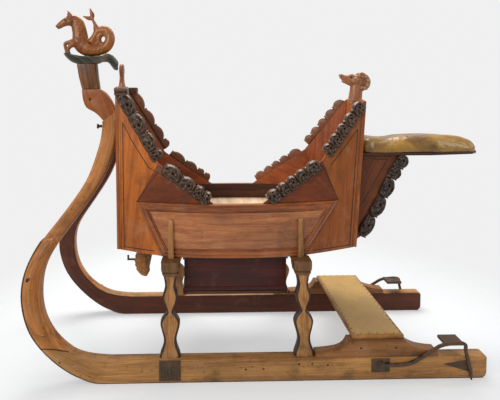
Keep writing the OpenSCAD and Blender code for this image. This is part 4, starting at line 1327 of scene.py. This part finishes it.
def endBoards():
    for node in ("floor_front", "floor_middle", "floor_rear", "well_floor", "bolster_front", "bolster_rear"):
        softBoard(node, woods["dark"], 0.002, slot="dark_oak")
    # the foot well walls, darkened in part as painted shade
    softBoard("well_walls", woods["well"], 0.002, slot="dark_oak")
    softBoard("front_board", woods["block"], 0.003, direction=(0, 0, 1))
    softBoard("rear_board", woods["shadedRearHull"], 0.003, direction=(0, 0, 1))
    # the seat board's pale colour is a painted reflection
    softBoard("seat_board", woods["seat"], 0.004, direction=(0, 1, 0))
    low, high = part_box("well_walls")
    # plinth moulding and upper moulding round the foot well
    strips = []
    for z in (low.z + 0.012, high.z - 0.014):
        rings = []
        reach = 0.006
        corners = [(low.x, low.y), (high.x, low.y), (high.x, high.y), (low.x, high.y)]
        for u, v in ((0.0, -0.010), (reach, -0.008), (reach, 0.004), (0.002, 0.009), (0.0, 0.010)):
            rings.append([(x + math.copysign(u, x - (low.x + high.x) / 2), y + math.copysign(u, y), z + v)
                          for x, y in corners])
        inner = [(x - math.copysign(0.003, x - (low.x + high.x) / 2), y - math.copysign(0.003, y), z)
                 for x, y in corners]
        verts = [p for r in rings for p in r] + inner
        faces = []
        count = len(rings) + 1
        for i in range(count):
            for j in range(4):
                a, b = i * 4 + j, i * 4 + (j + 1) % 4
                c, d = ((i + 1) % count) * 4 + (j + 1) % 4, ((i + 1) % count) * 4 + j
                faces.append((a, b, c, d))
        mesh = bpy.data.meshes.new("strip")
        mesh.from_pydata(verts, [], faces)
        strips.append(finishMesh(mesh, 30))
    addPiece("well_mouldings", setGrain(joined("strips", strips)), "sleigh", [woods["well"]])


endBoards()


def cornerLips():
    # the moulded cap where the side, front board and crest meet
    f1 = corner["f1"]
    x0, x1 = f1[0] - 0.015, f1[0] + 0.048
    y = hullY(f1[0])
    profile = [(0.0, -0.020), (0.022, -0.020), (0.026, -0.012), (0.020, -0.006), (0.026, -0.002),
               (0.029, 0.006), (0.024, 0.013), (0.0, 0.016)]
    rings = []
    for x, grow in ((x0, 0.0), (x0 + 0.002, 0.002), (x1 - 0.006, 0.002), (x1, -0.004)):
        ring = [(x, y + max(u + grow, 0), f1[1] + v * (1 if x < x1 else 0.8)) for u, v in profile]
        ring += [(x, y - 0.016 - grow, f1[1] + 0.014), (x, y - 0.016 - grow, f1[1] - 0.018)]
        rings.append(ring)
    mesh = bpy.data.meshes.new("lips")
    mesh.from_pydata([p for r in rings for p in r], [], loftFaces(len(rings), len(rings[0])))
    pairOf(setGrain(finishMesh(mesh, 35)), "corner_lips", [woods["carved"]])


cornerLips()


def makeBrackets():
    low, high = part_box("bracket_right")
    top, bottom = high.z, low.z
    lean = hull["rearLean"] / (hull["rearTop"] - hull["low"] - hull["endRise"])

    def face(z):
        return hull["rear"] + 0.0165 + (z - hull["low"] - hull["endRise"]) * lean
    run, length = top - bottom, high.x - face(top)
    edge = [(face(top) + length, top), (face(top) + 0.88 * length, top - 0.13 * run),
            (face(top) + 0.70 * length, top - 0.27 * run), (face(top) + 0.54 * length, top - 0.48 * run),
            (face(top) + 0.32 * length, top - 0.70 * run), (face(top) + 0.08 * length, top - 0.93 * run)]
    outline = [(face(bottom), bottom), (face(top), top)] + edge
    plate = sidePlate("bracket", outline[::-1], low.y, high.y, 0.002, (0.5, 0, 1))
    pairOf(plate, "bracket_board", [woods["bracket"]], ["bracket"])
    carvings = []

    def outside(x, out):
        return high.y + out

    def inside(x, out):
        return low.y - out
    runs = ((edge[0], edge[2]), (edge[2], edge[3]), (edge[3], edge[4]), (edge[4], edge[5]))
    for i, (a, b) in enumerate(runs):
        n = Vector((b[0] - a[0], b[1] - a[1])).normalized()
        a = (a[0] - n.y * 0.002, a[1] + n.x * 0.002)
        parts = [0.02, 0.52, 0.99] if i == 0 else [0.0, 1.0]
        for surface in (outside, inside):
            carvings.append(crestMeshes(a, b, parts, False, surface, i * 1.7)[0])
    # the bracket carvings take the darker copy as painted shade
    pairOf(joined("carving", carvings), "bracket_carving", [woods["shadedCarving"]])

    def line(a, b):
        d = Vector((b[0] - a[0], b[1] - a[1])).normalized()
        return sidePlate("line", bandOutline([a, b], 0.004), high.y - 0.003, high.y + 0.0006, 0)
    corner0, corner1 = (face(bottom + 0.13) + 0.012, bottom + 0.150), (face(top) + 0.012, top - 0.020)
    far = (face(top) + length * 0.62, top - 0.020)
    lines = [line(corner0, corner1), line(corner1, far), line(far, corner0)]
    pairOf(setGrain(joined("lines", lines)), "bracket_lines", [woods["inlay"]])


makeBrackets()
softBoard("saddle_board", woods["dark"], 0.003, slot="dark_oak")
print("posts, ends and brackets made")


saddle = dict(voxel=0.006, pressure=4.0, start=1, end=20, cap=0.010, shrink=0.985, nailStep=0.019,
              nail=0.0042)


def puffed(mesh, name):
    # swells a closed mesh by cloth pressure; points move no further than the cap
    piece = bpy.data.objects.new(name, mesh)
    bpy.context.scene.collection.objects.link(piece)
    remesh = piece.modifiers.new("skin", "REMESH")
    remesh.mode = "VOXEL"
    remesh.voxel_size = saddle["voxel"]
    applyModifiers(piece)
    before = [v.co.copy() for v in piece.data.vertices]
    low = min(p.z for p in before)
    held = piece.vertex_groups.new(name="held")
    held.add([i for i, p in enumerate(before) if p.z < low + 0.012], 1.0, "ADD")
    cloth = piece.modifiers.new("cloth", "CLOTH")
    cloth.settings.use_pressure = True
    cloth.settings.uniform_pressure_force = saddle["pressure"]
    cloth.settings.effector_weights.gravity = 0
    cloth.settings.tension_stiffness = 12
    cloth.settings.compression_stiffness = 12
    cloth.settings.vertex_group_mass = "held"
    for number in range(saddle["start"], saddle["end"] + 1):
        bpy.context.scene.frame_set(number)
    graph = bpy.context.evaluated_depsgraph_get()
    after = [v.co.copy() for v in piece.evaluated_get(graph).to_mesh().vertices]
    piece.modifiers.clear()
    bpy.context.scene.frame_set(saddle["start"])
    for vertex, old, new in zip(piece.data.vertices, before, after):
        move = new - old
        if move.length > saddle["cap"]:
            move = move.normalized() * saddle["cap"]
        vertex.co = old + move
    relax = piece.modifiers.new("relax", "SMOOTH")
    relax.iterations = 6
    fine = piece.modifiers.new("fine", "SUBSURF")
    fine.levels = 1
    applyModifiers(piece)
    out = piece.data
    bpy.data.objects.remove(piece)
    return finishMesh(out, 60)


def makeSaddle():
    low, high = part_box("saddle_pad")
    middle = Vector(((low.x + high.x) / 2, 0, (low.z + high.z) / 2))
    bm = bmesh.new()
    bm.from_mesh(cadNodes["saddle_pad"].data)
    bmesh.ops.remove_doubles(bm, verts=bm.verts, dist=1e-5)
    bmesh.ops.transform(bm, matrix=Matrix.Translation(middle) @ Matrix.Scale(saddle["shrink"], 4)
                        @ Matrix.Translation(-middle), verts=bm.verts)
    mesh = bpy.data.meshes.new("pad")
    bm.to_mesh(mesh)
    bm.free()
    pad = puffed(mesh, "pad")
    length = high.x - low.x
    top = high.z - low.z
    normals = [v.normal.copy() for v in pad.vertices]
    for vertex, normal in zip(pad.vertices, normals):
        # a long crown with a shallow dip, a thicker front roll, and soft creases
        co = vertex.co
        s = (co.x - low.x) / length
        rise = max(0.0, (co.z - low.z) / top)
        dip = 0.010 * math.exp(-((s - 0.22) / 0.10) ** 2) - 0.006 * math.exp(-((s - 0.05) / 0.06) ** 2)
        droop = 0.016 * max(0.0, s - 0.72) ** 1.5
        crease = 0.0016 * noise.noise(Vector((co.x * 9, co.y * 26, 3.1)))
        crease += 0.0012 * noise.noise(Vector((co.x * 30, co.y * 30, co.z * 30)))
        co.z -= rise * (dip + droop)
        co += normal * crease * (0.4 + rise)
        co.z = max(co.z, low.z + 0.0005)
    setGrain(pad, (1, 0, 0))
    finishMesh(pad, 80)
    cover = addPiece("saddle_cover", pad, "sleigh", [leather], ["saddle_pad"])
    addSaddleTrim(cover, low, high)


def addSaddleTrim(cover, low, high):
    # a welt round the lower edge, and a row of domed nails above it
    tree = BVHTree.FromObject(cover, bpy.context.evaluated_depsgraph_get())
    middle = Vector(((low.x + high.x) / 2, 0, low.z + 0.010))
    outline = []
    count = 240
    for i in range(count):
        a = 2 * math.pi * i / count
        reach = Vector((math.cos(a) * 0.6, math.sin(a) * 0.25, 0))
        start = middle + reach
        hit, normal = tree.ray_cast(start, -reach.normalized())[:2]
        if hit:
            outline.append((hit, normal))
    total, run = 0.0, 0.0
    nails, rings = [], []
    for i, (hit, normal) in enumerate(outline):
        following = outline[(i + 1) % len(outline)][0]
        out = Vector((normal.x, normal.y, 0)).normalized()
        ring = []
        for k in range(8):
            b = 2 * math.pi * k / 8
            drop = Vector((0, 0, -0.006 + 0.0034 * math.sin(b)))
            ring.append(hit + out * (0.0012 + 0.0034 * math.cos(b)) + drop)
        rings.append(ring)
        length = (following - hit).length
        while run <= total + length:
            nails.append((hit + (following - hit) * ((run - total) / length), out))
            run += saddle["nailStep"]
        total += length
    verts = [p for r in rings for p in r]
    faces = []
    for i in range(len(rings)):
        for k in range(8):
            a, b = i * 8 + k, i * 8 + (k + 1) % 8
            j = (i + 1) % len(rings)
            faces.append((a, b, j * 8 + (k + 1) % 8, j * 8 + k))
    welt = bpy.data.meshes.new("welt")
    welt.from_pydata([tuple(v) for v in verts], [], faces)
    addPiece("saddle_welt", setGrain(finishMesh(welt, 60)), "sleigh", [leather])
    heads = []
    for place, out in nails:
        head = discMesh("nail", (0, 0, 0), saddle["nail"], 0.0022, "Z", segments=10)
        turn = out.to_track_quat("Z", "Y").to_matrix().to_4x4()
        head.transform(Matrix.Translation(place + out * 0.0005 + Vector((0, 0, 0.004))) @ turn)
        heads.append(head)
    addPiece("saddle_nails", setGrain(joined("nails", heads)), "sleigh", [brass])


makeSaddle()
print("saddle made")


mat = dict(columns=24, rows=72, inset=0.002, wave=0.0010, fray=0.0016, tack=0.0035, tackHeight=0.0016)


def tackMesh(x, y, top):
    return discMesh("tack", (x, y, top - 0.0006), mat["tack"], mat["tackHeight"], "Z", segments=10)


def makeFootboard():
    softBoard("footboard", woods["foot"], 0.003, direction=(0, 1, 0))
    low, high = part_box("foot_mat")
    columns, rows, inset = mat["columns"], mat["rows"], mat["inset"]
    verts, faces = [], []
    thick = high.z - low.z
    for level in (1, 0):
        for j in range(rows + 1):
            for i in range(columns + 1):
                x = low.x + inset + (high.x - low.x - 2 * inset) * i / columns
                y = low.y + inset + (high.y - low.y - 2 * inset) * j / rows
                edge = min(i, columns - i, j, rows - j)
                wave = mat["wave"] * noise.noise(Vector((x * 12, y * 12, 1.0)))
                fray = mat["fray"] * noise.noise(Vector((x * 60, y * 60, 5.0))) if edge == 0 else 0.0
                z = low.z + (thick + wave if level else 0.0003)
                verts.append((x + fray, y + fray, z - (0.0015 if level and edge == 0 else 0)))
    row = columns + 1
    count = row * (rows + 1)
    for j in range(rows):
        for i in range(columns):
            a = j * row + i
            faces.append((a, a + 1, a + 1 + row, a + row))
            faces.append((count + a, count + a + row, count + a + 1 + row, count + a + 1))
    rim = list(range(row)) + [j * row + columns for j in range(1, rows + 1)]
    rim += [rows * row + i for i in range(columns - 1, -1, -1)] + [j * row for j in range(rows - 1, 0, -1)]
    for a, b in zip(rim, rim[1:] + rim[:1]):
        faces.append((a, b, count + b, count + a))
    mesh = bpy.data.meshes.new("mat")
    mesh.from_pydata(verts, [], faces)
    setGrain(finishMesh(mesh, 60), shift=Vector((0, 0, 0)))
    cloth = addPiece("woven_mat", mesh, "sleigh", [matting], ["foot_mat"])
    tacks = []
    for j in range(18):
        y = low.y + 0.012 + (high.y - low.y - 0.024) * j / 17
        for x in (low.x + 0.006, high.x - 0.006):
            tacks.append(tackMesh(x, y, high.z))
    for i in range(1, 6):
        x = low.x + (high.x - low.x) * i / 6
        for y in (low.y + 0.006, high.y - 0.006):
            tacks.append(tackMesh(x, y, high.z))
    addPiece("mat_tacks", setGrain(joined("tacks", tacks)), "sleigh", [iron])


makeFootboard()


def cadCopy(node, name):
    bm = bmesh.new()
    bm.from_mesh(cadNodes[node].data)
    bmesh.ops.remove_doubles(bm, verts=bm.verts, dist=1e-5)
    mesh = bpy.data.meshes.new(name)
    bm.to_mesh(mesh)
    bm.free()
    return mesh


def sculpt(mesh, push):
    # moves each vertex along its normal by push(place, normal)
    normals = [v.normal.copy() for v in mesh.vertices]
    for vertex, normal in zip(mesh.vertices, normals):
        vertex.co += normal * push(vertex.co, normal)
    return finishMesh(mesh, 60)


def makeProw():
    softBoard("prow_block", woods["block"], 0.007, 3, direction=(-0.4, 0, 1), angle=30)
    low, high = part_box("prow_post")
    softBoard("prow_post", woods["stained"], 0.004, 2, direction=(-0.15, 0, 1))
    base = fused("base", [cadCopy("figure_base", "base")], 0.0035, 5)

    def waves(co, normal):
        return 0.0022 * math.sin(co.x * 120 + co.z * 160) * (1 - abs(normal.z) * 0.4)
    setGrain(sculpt(base, waves))
    addPiece("wave_base", base, "sleigh", [woods["base"]], ["figure_base"])
    top = high.z
    px = low.x + 0.131

    def place(rows):
        return [(px + a, top + b, radius, half) for a, b, radius, half in rows]
    extra = []
    for s in (-1, 1):
        extra.append(limbMesh("ear", place([(-0.160, 0.232, 0.009, 0.007), (-0.166, 0.246, 0.008, 0.005),
                                            (-0.176, 0.262, 0.003, 0.003)]), y=s * 0.010))
        extra.append(ballMesh("cheek", (px - 0.166, s * 0.012, top + 0.208), (0.020, 0.012, 0.019)))
        extra.append(ballMesh("brow", (px - 0.186, s * 0.012, top + 0.222), (0.010, 0.006, 0.006)))
        extra.append(ballMesh("nostril", (px - 0.232, s * 0.007, top + 0.187), (0.007, 0.005, 0.006)))
        extra.append(ballMesh("shoulder", (px - 0.124, s * 0.014, top + 0.108), (0.028, 0.018, 0.030)))
    for k in range(14):
        a = 2 * math.pi * k / 14
        centre = (px + 0.001 + 0.026 * math.cos(a), 0, top + 0.122 + 0.028 * math.sin(a))
        extra.append(ballMesh("turn", centre, (0.014, 0.019, 0.014)))
    extra.append(ballMesh("turn", (px - 0.033, 0, top + 0.100), (0.015, 0.019, 0.015)))
    horse = fused("horse", [cadCopy("sea_horse", "horse")] + extra, 0.0028, 5)
    coil = (px + 0.003, top + 0.125)

    def detail(co, normal):
        dx, dz = co.x - coil[0], co.z - coil[1]
        r = math.hypot(dx, dz)
        push = 0.0
        if co.x > px - 0.055 and co.z > top + 0.03:
            # rings round the coiled tail
            a = math.atan2(dz, dx)
            push += 0.0003 * math.cos(26 * a + 10 * r)
        if co.x < px - 0.090 and co.z > top + 0.12:
            # the mane: wavy locks down the back of the neck
            back = (co.x - (px - 0.150)) + 0.25 * (co.z - top - 0.2)
            if back > 0.012:
                push += 0.0007 * math.sin(co.z * 420 + 60 * abs(co.y) * 8)
        return push
    setGrain(sculpt(horse, detail), (0.5, 0, 1))
    addPiece("sea_horse_carving", horse, "sleigh", [woods["figure"]], ["sea_horse"])
    eyes = []
    for s in (-1, 1):
        eyes.append(ballMesh("eye", (px - 0.186, s * 0.0165, top + 0.215), (0.0045, 0.0028, 0.0040), 12))
    addPiece("sea_horse_eyes", setGrain(finishMesh(joined("eyes", eyes), 60)), "sleigh",
             [woods["inlay"]])


makeProw()


def makeRearHead():
    x, z = corner["r1"][0] + 0.006, corner["r1"][1]

    def place(rows):
        return [(x + a, z + b, radius, half) for a, b, radius, half in rows]
    extra = []
    extra.append(limbMesh("jaw", place([(-0.070, 0.100, 0.007, 0.010), (-0.050, 0.094, 0.010, 0.013),
                                        (-0.018, 0.086, 0.016, 0.018)])))
    for s in (-1, 1):
        extra.append(limbMesh("ear", place([(0.010, 0.124, 0.010, 0.007), (0.026, 0.132, 0.012, 0.006),
                                            (0.048, 0.122, 0.008, 0.005)]), y=s * 0.022))
        extra.append(ballMesh("brow", (x - 0.026, s * 0.014, z + 0.128), (0.013, 0.007, 0.008)))
        extra.append(ballMesh("cheek", (x - 0.006, s * 0.020, z + 0.100), (0.020, 0.012, 0.017)))
        extra.append(ballMesh("nose", (x - 0.077, s * 0.006, z + 0.130), (0.009, 0.007, 0.007)))
        for k in range(9):
            a = -1.9 + 3.6 * k / 8
            extra.append(ballMesh("curl", (x + 0.036 + 0.024 * math.cos(a), s * (0.019 + 0.003 * (k % 2)),
                                           z + 0.092 + 0.030 * math.sin(a)), (0.012, 0.011, 0.012)))
    for k in range(7):
        a = -1.6 + 3.2 * k / 6
        extra.append(ballMesh("curl", (x + 0.040 + 0.026 * math.cos(a), 0.0, z + 0.092 + 0.032 * math.sin(a)),
                              (0.013, 0.014, 0.013)))
    head = fused("head", [cadCopy("rear_head", "head")] + extra, 0.003, 3)

    def detail(co, normal):
        if co.x > x + 0.008 and co.z > z + 0.055:
            return 0.0016 * noise.noise(co * 130)
        return 0.0005 * noise.noise(co * 60)
    setGrain(sculpt(head, detail), (0.4, 0, 1))
    addPiece("rear_head_carving", head, "sleigh", [woods["headWood"]], ["rear_head"])
    eyes = [ballMesh("eye", (x - 0.030, s * 0.0205, z + 0.118), (0.005, 0.003, 0.0045), 12) for s in (-1, 1)]
    addPiece("rear_head_eyes", setGrain(finishMesh(joined("eyes", eyes), 60)), "sleigh",
             [woods["inlay"]])


makeRearHead()


def makeCorbel():
    low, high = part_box("corbel")
    extra = []
    cx = (low.x + high.x) / 2
    for s in (-1, 1):
        extra.append(ballMesh("cheek", (cx - 0.004, s * 0.024, low.z + 0.085), (0.030, 0.010, 0.030)))
        extra.append(ballMesh("curl", (cx + 0.020, s * 0.024, low.z + 0.130), (0.016, 0.010, 0.016)))
        extra.append(ballMesh("curl", (cx - 0.020, s * 0.024, low.z + 0.130), (0.014, 0.009, 0.014)))
    extra.append(ballMesh("chin", (cx + 0.006, 0, low.z + 0.022), (0.024, 0.026, 0.022)))
    mesh = fused("corbel", [cadCopy("corbel", "corbel")] + extra, 0.0035, 4)
    sculpt(mesh, lambda co, normal: 0.0018 * math.sin(co.z * 260 + 40 * co.x) * (1 - abs(normal.z)))
    setGrain(mesh, (0, 0, 1))
    addPiece("corbel_carving", mesh, "sleigh", [woods["corbel"]], ["corbel"])


makeCorbel()
print("carvings made")


def makeIrons():
    for node in ("hitch_pin", "trace_hook"):
        softBoard(node, iron, 0.0012, 2, slot="iron")
    softBoard("post_straps", iron, 0.0012, 2, slot="iron")
    low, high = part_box("post_straps")
    ridges, heads = [], []
    for k in range(7):
        x = low.x + 0.010 + (high.x - low.x - 0.020) * k / 6
        if k == 3:
            continue
        ridges.append(sidePlate("ridge", [(x - 0.003, low.z + 0.006), (x + 0.003, low.z + 0.006),
                                          (x + 0.002, high.z - 0.005), (x - 0.002, high.z - 0.005)],
                                high.y - 0.001, high.y + 0.0022, 0.001))
    middle = (low.x + high.x) / 2
    heads.append(discMesh("nail", (middle, high.y, low.z + 0.042), 0.008, 0.005, "Y"))
    for dx, dz in ((-0.040, 0.010), (0.040, 0.010), (-0.040, 0.082), (0.040, 0.082)):
        heads.append(discMesh("nail", (middle + dx, high.y, low.z + dz), 0.0045, 0.003, "Y"))
    pairOf(setGrain(joined("ridges", ridges + heads)), "strap_ridges", [iron])
    for side, sign in sides:
        softBoard(f"brake_lever_{side}", iron, 0.0016, 2, slot="iron", body=f"brake_{side}", angle=30)
        softBoard(f"brake_pivot_{side}", iron, 0.0012, 2, slot="iron")
        softBoard(f"brake_guide_{side}", iron, 0.0008, 1, slot="iron")
    low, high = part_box("brake_pivot_right")
    plateY = horn["track"] / 2 + horn["thick"] / 2 + 0.003
    rivets = [discMesh("rivet", (low.x + dx, plateY - 0.0005, low.z + dz), 0.0050, 0.0035, "Y")
              for dx in (0.010, high.x - low.x - 0.010) for dz in (0.010, 0.054)]
    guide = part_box("brake_guide_right")
    for dx, dz in ((0.030, 0.030), (0.104, 0.012), (0.104, 0.046)):
        place = (guide[0].x + dx, plateY - 0.0005, guide[0].z + dz)
        rivets.append(discMesh("rivet", place, 0.0042, 0.003))
    pairOf(setGrain(joined("rivets", rivets)), "brake_rivets", [iron])
    # pegs in the timbers
    pegs = []
    outer = horn["track"] / 2 + horn["thick"] / 2
    for x, z in ((-0.93, 0.105), (-0.10, 0.060), (-0.02, 0.062), (0.27, 0.075), (0.14, 0.080), (0.20, 0.080),
                 (0.42, 0.150), (0.58, 0.150)):
        pegs.append(discMesh("peg", (x, outer - 0.0008, z), 0.0055, 0.0018, "Y"))
    pairOf(setGrain(joined("pegs", pegs)), "timber_pegs", [woods["inlay"]])


makeIrons()
print("irons made")
